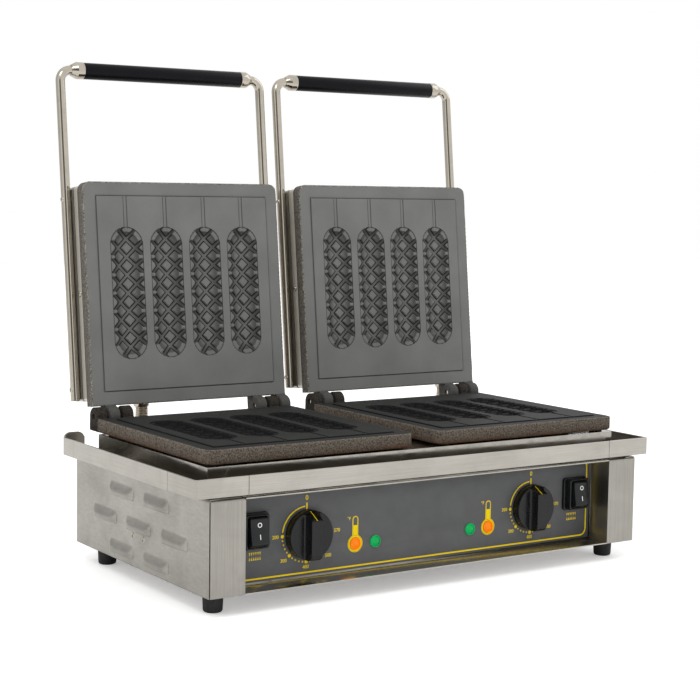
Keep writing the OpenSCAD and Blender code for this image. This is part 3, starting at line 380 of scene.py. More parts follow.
class Nodes:
    """A node tree to fill. What adds a node returns the (node, output) pair that others link from."""

    def __init__(self, owner):
        owner.use_nodes = True
        self.tree = owner.node_tree
        self.tree.nodes.clear()

    def link(self, source, socket):
        node, output = source
        self.tree.links.new(node.outputs[output], socket)

    def add(self, kind, output=0, **settings):
        """A setting is a property, a socket's value or a pair to link from; inN is socket number N."""
        node = self.tree.nodes.new("ShaderNode" + kind)
        for name, value in settings.items():
            if hasattr(node, name):
                setattr(node, name, value)
                continue
            numbered = name.startswith("in") and name[2:].isdigit()
            socket = node.inputs[int(name[2:]) if numbered else name.replace("_", " ")]
            if isinstance(value, tuple) and isinstance(value[0], bpy.types.Node):
                self.link(value, socket)
            else:
                socket.default_value = value
        return node, output

    def ramp(self, source, *stops):
        """Colours at given places along a value."""
        pair = self.add("ValToRGB", Fac=source)
        elements = pair[0].color_ramp.elements
        for position, _ in stops[2:]:
            elements.new(position)
        for element, (position, colour) in zip(elements, stops):
            element.position, element.color = position, colour
        return pair

    def ranged(self, source, come=(0.0, 1.0), go=(0.0, 1.0), curve="LINEAR"):
        """A value carried from one range onto another."""
        return self.add("MapRange", interpolation_type=curve, Value=source, From_Min=come[0],
                        From_Max=come[1], To_Min=go[0], To_Max=go[1])

    def maths(self, operation, *values):
        return self.add("Math", operation=operation, **{"in%d" % i: value for i, value in enumerate(values)})

    def mix(self, factor, first, second, blend="MIX"):
        """Two colours mixed; the third output of the node is the colour."""
        return self.add("Mix", 2, data_type="RGBA", blend_type=blend, in0=factor, in6=first, in7=second)


class Finish(Nodes):
    """A new material with a Principled shader, whose patterns lie in object coordinates."""

    def __init__(self, name, **sockets):
        self.material = bpy.data.materials.new(name)
        super().__init__(self.material)
        self.shader = self.add("BsdfPrincipled", "BSDF", **sockets)
        self.add("OutputMaterial", Surface=self.shader)
        self.place = self.add("TexCoord", "Object")

    def feed(self, socket, source):
        self.link(source, self.shader[0].inputs[socket])

    def noise(self, size, detail, **more):
        """Noise whose features are about this many millimetres wide."""
        return self.add("TexNoise", Vector=self.place, Scale=per_mm(size), Detail=detail, **more)

    def tag(self, name):
        """The numbers kept at a piece's points under a name."""
        return self.add("Attribute", "Fac", attribute_name=name)

    def bump(self, source, strength, distance):
        self.feed("Normal", self.add("Bump", Strength=strength, Distance=distance, Height=source))


def rolled_steel(name, colour, grain, roughness, vary, haze=0.12, relief=0.0002, metal=1.0, pressed=None):
    """Sheet of stainless steel: long brush lines (drawn coarser than the real 0.2 mm so that they show),
    cloudy handling marks that dull the gloss in patches, and a faint change of tone along the lines.
    Where stops are given, they multiply the tone over the tag of that name, which paints light and shade on
    louvres: from a painted highlight along their lips over painted shade on the flat sheet to darker painted
    shade on the hoods."""
    steel = Finish(name, Metallic=metal)
    stretch = steel.add("Mapping", Vector=steel.place, Scale=[per_mm(size) for size in grain])
    lines = steel.add("TexNoise", Vector=stretch, Scale=1.0, Detail=5.0, Roughness=0.65)
    clouds = steel.noise(48, 5.0, Roughness=0.6, Distortion=0.6)
    tone = steel.ramp(lines, (0.3, tint(colour, 0.86)), (0.7, tint(colour, 1.1)))
    smudge = steel.ramp(clouds, (0.3, tint(WHITE, 1 - haze)), (0.62, WHITE))
    tone = steel.mix(1.0, tone, smudge, "MULTIPLY")
    if pressed:
        form = steel.ramp(steel.tag("pressed"), *[(at, tint(WHITE, level)) for at, level in pressed])
        tone = steel.mix(1.0, tone, form, "MULTIPLY")
    steel.feed("Base Color", tone)
    gloss = steel.ranged(clouds, (0.3, 0.7), (roughness + vary, roughness - vary))
    streak = steel.ranged(lines, (0.25, 0.75), (-0.06, 0.06))
    steel.feed("Roughness", steel.maths("ADD", gloss, streak))
    steel.bump(lines, 0.12, relief)
    return steel.material


def bright_steel(name, colour, roughness, dirt=0.1):
    """Polished or nickel-plated steel: clear reflections, hairline scratches and a little dulled soil."""
    steel = Finish(name, Metallic=1.0)
    soil = steel.noise(18, 6.0, Roughness=0.7)
    steel.feed("Base Color", steel.ramp(soil, (0.28, tint(colour, 1 - 2 * dirt)), (0.55, colour)))
    steel.feed("Roughness", steel.ranged(soil, (0.3, 0.7), (roughness * 1.8, roughness * 0.7)))
    steel.bump(steel.noise(2.5, 3.0), 0.04, 0.00005)
    return steel.material


def cast_iron(name, face, dark_oil_and_shade, edge_dark, edge_light, highlight_colour, rust, gloss, fill=0.0):
    """Sand-cast iron: a blasted matt face with fine grit; moulds darkened partly by charred oil and partly by
    painted shade, with a painted black shade line round each pad; and raw edges whose sand skin carries a
    painted highlight on its high grains along the rolled edge and rusts along the lower edge. The grit is
    drawn about twice as coarse as real sand."""
    iron = Finish(name, Specular_IOR_Level=gloss)
    grit, clouds = iron.noise(1.6, 4.0, Roughness=0.7), iron.noise(40, 4.0)
    sand = iron.add("TexVoronoi", "Distance", Vector=iron.place, Scale=per_mm(2.2), Randomness=1.0)
    tone = iron.ramp(clouds, (0.3, tint(face, 0.9)), (0.7, tint(face, 1.08)))
    burnt_and_shaded, raw = iron.tag("mould"), iron.tag("edge")
    # Painted shade: a black line round each pad, drawn on the lattice tags
    across = [iron.maths("PINGPONG", iron.tag(tag), 0.5) for tag in ("pad_u", "pad_v")]
    outline = iron.maths("COMPARE", iron.maths("MAXIMUM", *across), PAD_SHADE_LINE, PAD_SHADE_LINE_HALF)
    # The mould tag darkens the moulds for charred oil and for painted shade; fill darkens a whole mould
    oil_and_shade = iron.maths("MAXIMUM", burnt_and_shaded, iron.ranged(burnt_and_shaded, (0.0, 0.05), (0.0, fill)))
    inside = iron.mix(outline, iron.mix(oil_and_shade, tone, dark_oil_and_shade), srgb("#0d0c0d"))
    speck = iron.ramp(grit, (0.36, edge_dark), (0.5, tint(edge_light, 0.62)), (0.66, edge_light))
    # Painted highlight on the high grains along the rolled edge
    painted_highlight = iron.maths("MULTIPLY", iron.tag("rub"), iron.ranged(grit, (0.45, 0.62)))
    rusty = iron.maths("MULTIPLY", iron.tag("rust"), iron.ranged(clouds, (0.35, 0.65), (0.15, 0.9)))
    skin = iron.mix(rusty, iron.mix(painted_highlight, speck, highlight_colour), rust)
    iron.feed("Base Color", iron.mix(raw, inside, skin))
    iron.feed("Roughness", iron.ranged(burnt_and_shaded, go=(0.62, 0.85)))
    iron.bump(iron.maths("SUBTRACT", grit, sand), 0.6, iron.ranged(raw, go=(0.00012, 0.0009)))
    return iron.material


def moulded(name, colour, roughness, grain, strength=0.15, mottle=1.0, **sockets):
    """Moulded plastic, rubber or ceramic: even colour, a faint flow mottle and the grain of its mould."""
    plastic = Finish(name, **sockets)
    flow = plastic.noise(14, 4.0)
    dark, light = tint(colour, 1 - 0.15 * mottle), tint(colour, 1 + 0.12 * mottle)
    plastic.feed("Base Color", plastic.ramp(flow, (0.3, dark), (0.7, light)))
    plastic.feed("Roughness", plastic.ranged(flow, (0.3, 0.7), (roughness * 1.15, roughness * 0.85)))
    plastic.bump(plastic.noise(grain, 2.0), strength, 0.0002)
    return plastic.material


def make_finish(name):
    """Builds the material of that name; each comment says what the real finish gives the eye."""
    look = bpy.context.scene.waffle_maker
    steel, iron = tuple(look.steel_colour), tuple(look.iron_colour)
    line = look.brush_width
    makers = {
        # Brushed along the strip, a warm light grey with soft horizontal streaks
        "stainless_rim": lambda n: rolled_steel(n, steel, (90, 90, line), 0.34, 0.05),
        # Brushed upright, so that the posts show fine vertical streaks
        "stainless_posts": lambda n: rolled_steel(n, tint(steel, 0.78), (line, line, 90), 0.33, 0.05),
        # Plain mill finish, handled: cloudy, smudged and duller; painted shade darkens the flat sheet as the
        # shadow under the rim and the louvres further, with a painted highlight along their lips
        "stainless_sides": lambda n: rolled_steel(n, tint(steel, 1.25), (10, 10, 3), 0.34, 0.05, 0.16,
                                                  pressed=[(0.0, 1.0), (0.5, 0.66), (1.0, 0.52)]),
        # Brushed across the lid
        "stainless_lids": lambda n: rolled_steel(n, tint(steel, 1.1), (90, line, line), 0.36, 0.05,
                                                 metal=0.9),
        # Bands of the lids: the lid steel made lighter and less metallic, as painted light that stands in for
        # bright reflections from every side
        "blasted_bands": lambda n: rolled_steel(n, tint(steel, 1.3), (90, line, line), 0.4, 0.05, metal=0.7),
        # Bright-annealed sheet of the gutter, the plateau and the hood: a blurred mirror
        "bright_sheet": lambda n: bright_steel(n, tint(steel, 0.9), 0.14),
        # Polished front edge of the pan, drawn along its length: it mirrors the print as long soft streaks
        "polished_shelf": lambda n: rolled_steel(n, tint(steel, 1.1), (120, 5, 5), 0.22, 0.03, 0.04,
                                                 relief=0.000004),
        # Nickel-plated rod, collars, screws and pins: a clear warm mirror
        "nickel_plate": lambda n: bright_steel(n, srgb("#bdb6a9"), 0.08, 0.08),
        # Blasted iron faces, mid grey, with raw sand-cast edges
        "cast_iron_upper": lambda n: cast_iron(n, iron, tint(iron, 0.12), srgb("#35332f"), srgb("#6c675f"),
                                               srgb("#b0a99b"), srgb("#4c443b"), 0.35),
        # The same iron blackened by fat and heat, its edges tinged brown
        "cast_iron_lower": lambda n: cast_iron(n, tint(iron, 0.15), tint(iron, 0.012), srgb("#26231f"),
                                               srgb("#72695e"), srgb("#857c70"), srgb("#5c3d26"), 0.15, 0.9),
        # Printed film over the control panel, matt dark grey, and the flat inks on it and on the rockers
        "label_film": lambda n: moulded(n, tuple(look.label_colour), 0.55, 0.8, 0.06, 0.25),
        "yellow_ink": lambda n: moulded(n, tuple(look.ink_colour), 0.5, 0.6, 0.05, 0.3,
                                        Specular_IOR_Level=0.1),
        "white_ink": lambda n: moulded(n, srgb("#f1f1ee"), 0.5, 0.6, 0.05),
        # Glossy injection-moulded black of the switches
        "abs_black": lambda n: moulded(n, srgb("#121416"), 0.22, 1.2, 0.04, Specular_IOR_Level=0.35),
        # Pressed thermoset of the knobs, a satin black
        "bakelite_black": lambda n: moulded(n, srgb("#101113"), 0.26, 1.0, 0.04, Specular_IOR_Level=0.35),
        # Black sleeve of the grips, silky with a slight bluish cast
        "grip_black": lambda n: moulded(n, srgb("#0c0c10"), 0.3, 0.9, 0.1, Specular_IOR_Level=0.12),
        # Dull rubber of the feet
        "foot_rubber": lambda n: moulded(n, srgb("#141414"), 0.7, 1.0, 0.3),
        # Dyed clear plastic of the pilot lamps, which are not lit: deep colour under a hard gloss, with a
        # weak emission as a painted glow
        "orange_lens": lambda n: moulded(n, srgb("#ff8a12"), 0.16, 2.0, 0.05, Specular_IOR_Level=0.25,
                                         Emission_Color=srgb("#ff7a00"), Emission_Strength=0.2),
        "green_lens": lambda n: moulded(n, srgb("#06b45f"), 0.16, 2.0, 0.05, Specular_IOR_Level=0.25,
                                        Emission_Color=srgb("#02b052"), Emission_Strength=0.12),
        # Galvanised strip wound into a hose: a dull beige metal
        "galvanised_strip": lambda n: rolled_steel(n, srgb("#d2c8b7"), (3, 3, 3), 0.34, 0.08, 0.2),
        # Oxidised sheath of the heating elements, brown-grey
        "element_sheath": lambda n: rolled_steel(n, srgb("#6d655c"), (4, 4, 4), 0.55, 0.08, 0.3),
        # Zinc-plated thermostat cases, glazed terminal block and dull nylon gland
        "zinc_plate": lambda n: rolled_steel(n, srgb("#a8a59c"), (6, 6, 6), 0.45, 0.08, 0.2),
        "terminal_ceramic": lambda n: moulded(n, srgb("#d8d2c4"), 0.4, 1.5, 0.1),
        "gland_nylon": lambda n: moulded(n, srgb("#1a1a1b"), 0.5, 1.2, 0.1),
    }
    return makers[name](name + "_finish")


def finish(name):
    """The finish of that name, made when first asked for. Its ending tells it from the CAD's materials."""
    return bpy.data.materials.get(name + "_finish") or make_finish(name)


# Pieces

def piece(name, shape, look, body, slot, stands_for=(), bevel=0.0, sharp=35.0, tags=None, solid=True):
    """Puts a shape into the scene as a piece on a body, with its finish and the nodes it stands for; its
    slot is not used. A bevel rounds sharp edges; tags are numbers kept at its points; an open sheet isn't
    solid."""
    mesh = shape.mesh(name)
    if solid:
        face_outwards(mesh)
    for tag, values in (tags or {}).items():
        mesh.attributes.new(tag, "FLOAT", "POINT").data.foreach_set("value", np.asarray(values, np.float32))
    return dress(bpy.data.objects.new(name, mesh), look, body, stands_for, bevel, sharp)


def lid_piece(side, name, shape, look, slot, node, **more):
    """Puts a shape in lid coordinates into one lid, in place of a CAD node."""
    piece("%s_%s" % (name, side), shape.mapped(on_lid(side)), look, "lid_" + side, slot,
          ["%s_%s" % (node, side)], **more)


def face_outwards(mesh):
    """Turns the faces of closed skins outwards."""
    skin = bmesh.new()
    skin.from_mesh(mesh)
    bmesh.ops.recalc_face_normals(skin, faces=skin.faces)
    skin.to_mesh(mesh)
    skin.free()


def dress(obj, look, body, stands_for=(), bevel=0.0, sharp=35.0):
    """Links an object into the scene with its finish, its edges and its place in the frame."""
    bpy.context.scene.collection.objects.link(obj)
    obj.data.materials.clear()
    obj.data.materials.append(finish(look))
    obj.data.shade_smooth()
    if bevel:
        modifier = obj.modifiers.new("edges", "BEVEL")
        modifier.width, modifier.segments = bevel * MM, 3
        modifier.limit_method, modifier.angle_limit = "ANGLE", math.radians(sharp)
        modifier.harden_normals = True
    else:
        obj.data.set_sharp_from_angle(angle=math.radians(sharp))
    if stands_for:
        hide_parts(*stands_for)
    if body:
        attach(obj, body)
    return obj


def softened(node, name, look, bevel):
    """A merged copy of a CAD node with its edges rounded, in place of the node."""
    source = frame["nodes"][node]
    skin = bmesh.new()
    skin.from_mesh(source.data)
    bmesh.ops.remove_doubles(skin, verts=skin.verts, dist=1e-6)
    bmesh.ops.dissolve_limit(skin, angle_limit=math.radians(0.5), verts=skin.verts, edges=skin.edges)
    mesh = bpy.data.meshes.new(name)
    skin.to_mesh(mesh)
    skin.free()
    return dress(bpy.data.objects.new(name, mesh), look, source["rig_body"], (node,), bevel)


# Castings

def mould_offset(x):
    """Sideways distance from the middle of the nearest mould."""
    last = MOULDS / 2 - 1
    return x - MOULD_PITCH * (np.clip(np.round(x / MOULD_PITCH - 0.5), -last - 1, last) + 0.5)


def mould_relief(aside, along):
    """Depth under the face inside a mould, and three tags of each point: how dark it is made, for charred oil
    and for painted shade, and its two diagonal places on the lattice of pads; also which points lie inside.
    The trough is a round groove with ball ends. Diamond pads stand in it on a lattice, at every place whose
    column and row add up to an odd number, and their tops follow an ellipse; outside it, pads, tongues and
    end strips form a ledge just under the face."""
    past = np.maximum(np.abs(along) - MOULD_RUN, 0)
    away = np.hypot(aside, past)
    groove = MOULD_DEPTH - MOULD_R + np.sqrt(np.maximum(MOULD_R ** 2 - away ** 2, 0))
    column, row = (aside - PAD_SHIFT) / PAD_COLUMN, along / PAD_ROW
    u, v = (column + row + 1) / 2, (column - row + 1) / 2
    off = np.maximum(np.abs(u - np.round(u)), np.abs(v - np.round(v)))
    diamond = 1 - smooth(*PAD_EDGE, off)
    even = np.abs(along - 2 * PAD_ROW * np.round(row / 2))
    turn = np.arctan2(past, np.abs(aside))
    strip = away * np.minimum(turn - STRIP_FROM, STRIP_TO - turn)
    tongue = smooth(-0.5, 0.5, np.where(past > 0, strip, TONGUE_W / 2 - even))
    ledge = away >= PAD_REACH
    pad = np.where(ledge, np.maximum(diamond, tongue), diamond)
    top = np.maximum(PAD_DEPTH * np.sqrt(np.maximum(1 - (away / PAD_REACH) ** 2, 0)), LEDGE)
    depth = groove + (np.minimum(top, groove) - groove) * pad
    # Painted shade, partly charred oil: grooves and side pads darken towards the rim, the ledge is dark
    # between its tongues, and the rim is near black
    band = 0.25 + 0.5 * smooth(4, 14, away)
    oil_and_shade = np.where(ledge, 0.8 - 0.74 * pad, band + (0.06 + 0.62 * smooth(4, 13, away) - band) * pad)
    brink = 1 - smooth(0.2, 0.9, MOULD_W / 2 - away)
    plain = ledge & (tongue > 0.5)
    u, v = np.where(plain, np.round(u), u), np.where(plain, np.round(v), v)
    return depth, (np.maximum(oil_and_shade, brink), u, v), away < MOULD_W / 2


def casting_face(x, e):
    """Depth h of a casting's face over x and e, and the three tags of mould_relief. The raised square is
    a step with a shallow score along it; a channel for the stick, scored along both its sides, leads from
    the square's edge to the end of each mould."""
    beyond = np.maximum(np.abs(x), np.abs(e - PLATE_MID)) - FACE_HALF
    line = bell(beyond - 0.2, 0.4)
    h = FACE_H + FACE_STEP * smooth(-0.3, 0.3, beyond) + SCORE * line
    aside = mould_offset(x)
    side = np.abs(aside) - STICK_W / 2
    scored = bell(side, 0.35)
    channel = (e > PLATE_MID) & (beyond < 0)
    h = np.where(channel, h + STICK_DEPTH * smooth(0.2, -0.2, side) + SCORE * scored, h)
    depth, (burnt_and_shaded, u, v), inside = mould_relief(aside, e - PLATE_MID)
    # Painted shade along the square's score line and the sides of the stick channel
    score_shade = np.maximum(0.75 * line, np.where(channel, 0.7 * scored, 0))
    tags = np.where(inside, burnt_and_shaded, score_shade), np.where(inside, u, 0), np.where(inside, v, 0)
    return np.where(inside, np.maximum(h, FACE_H + depth), h), tags


def casting_grid(step):
    """Grid points over a casting's face, dense in the moulds, at the scores and at the edges. Those near
    a mould's rim are drawn onto it, so that its edge is a clean curve."""
    half, rim = PLATE_W / 2, MOULD_W / 2
    centres = MOULD_PITCH * (np.arange(MOULDS) - (MOULDS - 1) / 2)
    brinks = [c + s * STICK_W / 2 for c in centres for s in BOTH]
    x_lines = spread((-half, half, 4.0), *[(side * (half - 3), side * half, 0.5) for side in BOTH],
                     *[(c - rim - 0.5, c + rim + 0.5, step) for c in centres],
                     *[(s * FACE_HALF - 0.9, s * FACE_HALF + 0.9, 0.3) for s in BOTH],
                     *[(brink - 0.7, brink + 0.7, 0.35) for brink in brinks])
    e_lines = spread((PLATE_NEAR, PLATE_FAR, 4.0), (PLATE_NEAR, PLATE_NEAR + 3, 0.5),
                     (PLATE_FAR - 3, PLATE_FAR, 0.5),
                     (PLATE_MID - MOULD_L / 2 - 0.5, PLATE_MID + MOULD_L / 2 + 0.5, step),
                     *[(PLATE_MID + s * FACE_HALF - 0.9, PLATE_MID + s * FACE_HALF + 0.9, 0.3) for s in BOTH])
    x, e = np.meshgrid(x_lines, e_lines, indexing="ij")
    aside, along = mould_offset(x), e - PLATE_MID
    past = np.sign(along) * np.maximum(np.abs(along) - MOULD_RUN, 0)
    away = np.hypot(aside, past) + 1e-9
    gap = away - MOULD_W / 2
    pull = np.where(np.abs(gap) < 0.35 * step, -gap / away, 0.0)
    return x + aside * pull, e + past * pull


def past_corner(x, e):
    """How far points lie past the centre of a front corner's arc, across and along."""
    return (np.maximum(np.abs(x) - PLATE_W / 2 + PLATE_CORNER_R, 0),
            np.maximum(e - PLATE_FAR + PLATE_CORNER_R, 0))


def casting_skin(look):
    """A casting's face as a grid, with rolled edges, rough side walls and a flat back. Its front corners
    are rounded in the corner squares by x' = x sqrt(1 - y^2/2) and y' = y sqrt(1 - x^2/2). Returns the
    shape and its tags."""
    half, roll = PLATE_W / 2, look.edge_roll
    x, e = casting_grid(look.mesh_step)
    h, (mould, pad_u, pad_v) = casting_face(x, e)
    a, b = (reach / PLATE_CORNER_R for reach in past_corner(x, e))
    x = x - np.sign(x) * PLATE_CORNER_R * a * (1 - np.sqrt(1 - b * b / 2))
    e = e - PLATE_CORNER_R * b * (1 - np.sqrt(1 - a * a / 2))
    margin = np.minimum(np.minimum(half - np.abs(x), PLATE_FAR - e), e - PLATE_NEAR)
    margin = np.where((a > 0) & (b > 0), PLATE_CORNER_R - np.hypot(*past_corner(x, e)), margin)
    margin = margin + 0.25 * np.sin(1.7 * x - 1.3 * e) * smooth(0, 0.5, margin)
    grid = np.stack([x, e, h + roll - rolled(margin, roll)], -1)
    wall = grid.reshape(-1, 3)[border(*x.shape)]
    across, along = wall[:, :1], wall[:, 1:2]
    ripple = 0.1 * np.sin(across * 0.9 + along * 0.7) + 0.08 * np.sin(across * 2.3 - along * 1.9)
    middle = np.array([0, PLATE_MID, 0])
    levels = [(BACK_H - 5.0, 1 + 0.001 * ripple), (BACK_H - roll, 1), (BACK_H, 1 - roll / half)]
    rings = [np.column_stack([((wall - middle) * scale + middle)[:, :2], np.full(len(wall), level)])
             for level, scale in levels]
    # A tag near the rolled edge carries a painted highlight; the mould tag carries charred oil and painted
    # shade
    on_face = {"edge": smooth(roll * 1.6, roll * 0.3, margin), "mould": mould, "pad_u": pad_u, "pad_v": pad_v,
               "rub": bell(margin - 0.9, 0.6), "rust": np.zeros_like(margin)}
    on_wall = {"edge": [1, 1, 1], "rust": [0.2, 0.8, 1.0]}
    tags = {tag: np.concatenate([values.reshape(-1), np.repeat(on_wall.get(tag, [0, 0, 0]), len(wall))])
            for tag, values in on_face.items()}
    return walled(grid, rings), tags


def knuckle(outer):
    """One hinge knuckle from the plate's side in to the given x: the outline round the hinge axis is the
    circle of the knuckle and, below the face, the block of the arm, met by each ray from the axis; its
    bore closes it to a ring."""
    sides, chamfer, inner = 72, 0.9, outer - KNUCKLE_W
    angle = np.radians(np.linspace(0, 360, sides, endpoint=False))
    c, s = np.cos(angle), np.sin(angle)
    wide = np.where(c > 0, (PLATE_NEAR + 2) / np.maximum(c, 1e-6), KNUCKLE_R / np.maximum(-c, 1e-6))
    block = np.minimum(wide, BACK_H / np.maximum(s, 1e-6))
    radius = np.where(s * KNUCKLE_R > FACE_STEP, np.maximum(block, KNUCKLE_R), KNUCKLE_R)
    stations = [(inner, radius - chamfer), (inner + chamfer, radius), (outer - chamfer, radius),
                (outer, radius - chamfer), (outer, PIN_HOLE_R), (inner, PIN_HOLE_R)]
    return loft([np.stack([np.full(sides, x), r * c, r * s], -1) for x, r in stations], loop=True)


def casting_details():
    """Two knuckles on one side and one on the other, the swelling behind the moulds, and the lugs."""
    pitch, half = KNUCKLE_W + KNUCKLE_GAP, PLATE_W / 2
    flip = np.diag([-1.0, 1.0, 1.0])
    knuckles = [knuckle(half).placed(axes=flip), knuckle(half - 2 * pitch).placed(axes=flip),
                knuckle(half - pitch)]
    belly = ring_stack([rounded_rect(BELLY_X, BELLY_E, 5), rounded_rect(BELLY_X, BELLY_E, 5),
                        rounded_rect(BELLY_X - 1, BELLY_E - 1, 4)], [BACK_H - 0.5, BELLY_H - 1, BELLY_H])
    lug = lathe([(BACK_H - 0.5, LUG_R), (BACK_H + LUG_H - 0.4, LUG_R), (BACK_H + LUG_H, LUG_R - 0.4)], 32)
    lugs = [lug.placed((side * (half - LUG_INSET), e, 0)) for side in BOTH
            for e in (PLATE_NEAR + LUG_INSET, PLATE_FAR - LUG_INSET)]
    return joined(knuckles + [belly.placed((0, PLATE_MID, 0))] + lugs)


class WAFFLE_OT_castings(bpy.types.Operator):
    """Casts the four plates with their moulds, pads, stick channels and hinge knuckles"""
    bl_idname = "waffle.castings"
    bl_label = "Cast-iron plates"

    def execute(self, context):
        skin, tags = casting_skin(context.scene.waffle_maker)
        details = casting_details()
        whole = joined([skin, details])
        raw = {"edge": 0.25, "mould": 0.75}
        tags = {tag: np.concatenate([values, np.full(len(details.points), raw.get(tag, 0.0))])
                for tag, values in tags.items()}
        for side in SIDES:
            for level, body in (("upper", "lid_" + side), ("lower", "base")):
                piece("%s_casting_%s" % (level, side), whole.mapped(on_casting(side, level == "upper")),
                      "cast_iron_" + level, body, "cast_iron", ["%s_plate_%s" % (level, side)],
                      tags=tags, sharp=50)
        return DONE


# Conduits, handles and lid shells

def conduit_path(side, count):
    """Centre line of a conduit at equal steps, and the length up to each: one arc leaves the rear panel
    level and turns up past the upright, and an equal arc bends back to enter the lid along its lean."""
    x = HOSE_X[side] - SIDES[side] * HINGE[0]
    start = np.array([HOSE_X[side], GLAND_HIGH[1], (GLAND_LOW[2] + GLAND_HIGH[2]) / 2])
    go, climb = (on_lid(side)(np.array([[x, LID_NEAR - GLAND_L, GLAND_H]]))[0] - start)[1:]
    s, c = math.sin(LEAN), math.cos(LEAN)
    rise, square = climb * (1 + s) - go * c, go ** 2 + climb ** 2
    bend = square / (rise + math.sqrt(rise ** 2 + 2 * square * (1 - s)))
    over = math.atan2(climb / bend - 1 - s, go / bend + c)
    turn = math.pi / 2 + over
    swept = np.linspace(0, turn + over + LEAN, count)
    first = swept < turn
    angle = np.where(first, swept, 2 * turn - swept)
    y = np.where(first, np.sin(angle), 2 * math.sin(turn) - np.sin(angle))
    z = np.where(first, 1 - np.cos(angle), 1 - 2 * math.cos(turn) + np.cos(angle))
    return start + bend * np.stack([0 * y, y, z], -1), swept * bend


class WAFFLE_OT_conduits(bpy.types.Operator):
    """Winds the two ribbed conduits from the rear panel up into the open lids"""
    bl_idname = "waffle.conduits"
    bl_label = "Ribbed conduits"

    def execute(self, context):
        look = context.scene.waffle_maker
        for side in SIDES:
            path, reach = conduit_path(side, look.ribs * RINGS_PER_RIB + 1)
            rib = 0.5 - 0.5 * np.cos(2 * np.pi * reach / reach[-1] * look.ribs)
            radius = HOSE_R - look.rib_depth * (1 - rib ** 0.6)
            hose = tube(path, radius, np.array([1.0, 0, 0]), 28, HOSE_BORE)
            obj = piece("ribbed_conduit_" + side, hose, "galvanised_strip", None, "conduit_steel",
                        ["conduit_" + side], sharp=60)
            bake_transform(obj)
        return DONE


class WAFFLE_OT_handles(bpy.types.Operator):
    """Bends the handle rods and turns their grips and collars"""
    bl_idname = "waffle.handles"
    bl_label = "Handles"

    def execute(self, context):
        straight = GRIP_E - ROD_BEND
        side_run = [[-ROD_X, e] for e in (ROD_START, ROD_START + 0.6, ROD_START + 8, straight - 1)]
        half = np.concatenate([side_run, arc((-ROD_X + ROD_BEND, straight), ROD_BEND, 180, 90, 20),
                               [[-ROD_X + ROD_BEND + 1, GRIP_E], [-10, GRIP_E]]])
        plan = np.concatenate([half, half[::-1] * [-1, 1]])
        radius = np.full(len(plan), ROD_R)
        radius[[0, -1]] = ROD_R - 0.7
        rod = tube(np.column_stack([plan, np.full(len(plan), ROD_H)]), radius, np.array([0, 0, 1.0]), 40)
        end = np.array([(GRIP_HALF - 0.1, ROD_R + 0.1), (GRIP_HALF - 0.1, GRIP_R - 0.7),
                        (GRIP_HALF - 0.3, GRIP_R - 0.2), (GRIP_HALF - 0.9, GRIP_R)])
        grip = lathe(np.concatenate([end * [-1, 1], [(0, GRIP_R)], end[::-1]]), 64, loop=True)
        plain = COLLAR_L - COLLAR_TAPER
        collar = lathe([(0.1, ROD_R + 0.05), (0.1, COLLAR_R - 0.5), (0.5, COLLAR_R), (plain - 0.3, COLLAR_R),
                        (plain + 0.3, COLLAR_R - 0.3), (COLLAR_L - 0.6, COLLAR_TIP_R + 0.5),
                        (COLLAR_L, COLLAR_TIP_R), (COLLAR_L, ROD_R + 0.05)], 56, loop=True)
        collars = joined([collar.placed((0, 0, GRIP_HALF)),
                          collar.placed((0, 0, -GRIP_HALF), np.diag([1, -1, -1.0]))])
        centre, along = (0, GRIP_E, ROD_H), np.array([[0, 1.0, 0], [0, 0, 1.0], [1.0, 0, 0]])
        for side in SIDES:
            lid_piece(side, "bent_rod", rod, "nickel_plate", "polished_steel", "handle_rod")
            lid_piece(side, "grip_sleeve", grip.placed(centre, along), "grip_black", "bakelite_black",
                      "handle_grip")
            lid_piece(side, "turned_collars", collars.placed(centre, along), "nickel_plate", "polished_steel",
                      "handle_collars")
        return DONE


def lid_rings(levels):
    """Rounded outlines of a lid, each (half width, inset along e, corner radius, h)."""
    outlines = [rounded_rect(half, LID_HALF - inset, radius, 8) + [0, LID_MID]
                for half, inset, radius, _ in levels]
    return ring_stack(outlines, [level[-1] for level in levels])


class WAFFLE_OT_lid_shells(bpy.types.Operator):
    """Folds the steel frames and covers of the lids"""
    bl_idname = "waffle.lid_shells"
    bl_label = "Lid frames and covers"

    def execute(self, context):
        neck, inner, play, step = BAND_X - NECK_IN, COVER_X - SHEET, 0.1, 0.5
        band = lid_rings([(neck - SHEET, NECK_IN + SHEET, 3, WEB_LOW),
                          (neck - SHEET, NECK_IN + SHEET, 3, BAND_TOP - SHEET),
                          (BAND_X - SHEET, SHEET, 3, BAND_TOP - SHEET),
                          (BAND_X - SHEET, SHEET, 3, BACK_H + 0.05),
                          (BAND_X - 0.3, 0.3, 4, BACK_H + 0.05), (BAND_X, 0, 4, BACK_H + 0.4),
                          (BAND_X, 0, 4, BAND_TOP - step), (BAND_X - step, step, 4, BAND_TOP),
                          (neck, NECK_IN, 4, BAND_TOP), (neck, NECK_IN, 4, WEB_LOW),
                          (inner - play, SHEET + play, 3, WEB_LOW), (inner - play, SHEET + play, 3, WEB_TOP)])
        bend = arc((COVER_FOLD, COVER_TOP - COVER_FOLD), COVER_FOLD, 180, 90, 7)
        cover = lid_rings([(inner, SHEET, 3, COVER_TOP - SHEET), (inner, SHEET, 3, COVER_LOW),
                           (COVER_X, 0, COVER_R, COVER_LOW)]
                          + [(COVER_X - inset, inset, max(COVER_R - inset, 1.2), h) for inset, h in bend])
        for side in SIDES:
            lid_piece(side, "band_frame", band, "blasted_bands", "stainless", "lid_frame")
            lid_piece(side, "folded_cover", cover, "stainless_lids", "stainless", "lid_cover")
        return DONE


# Casing

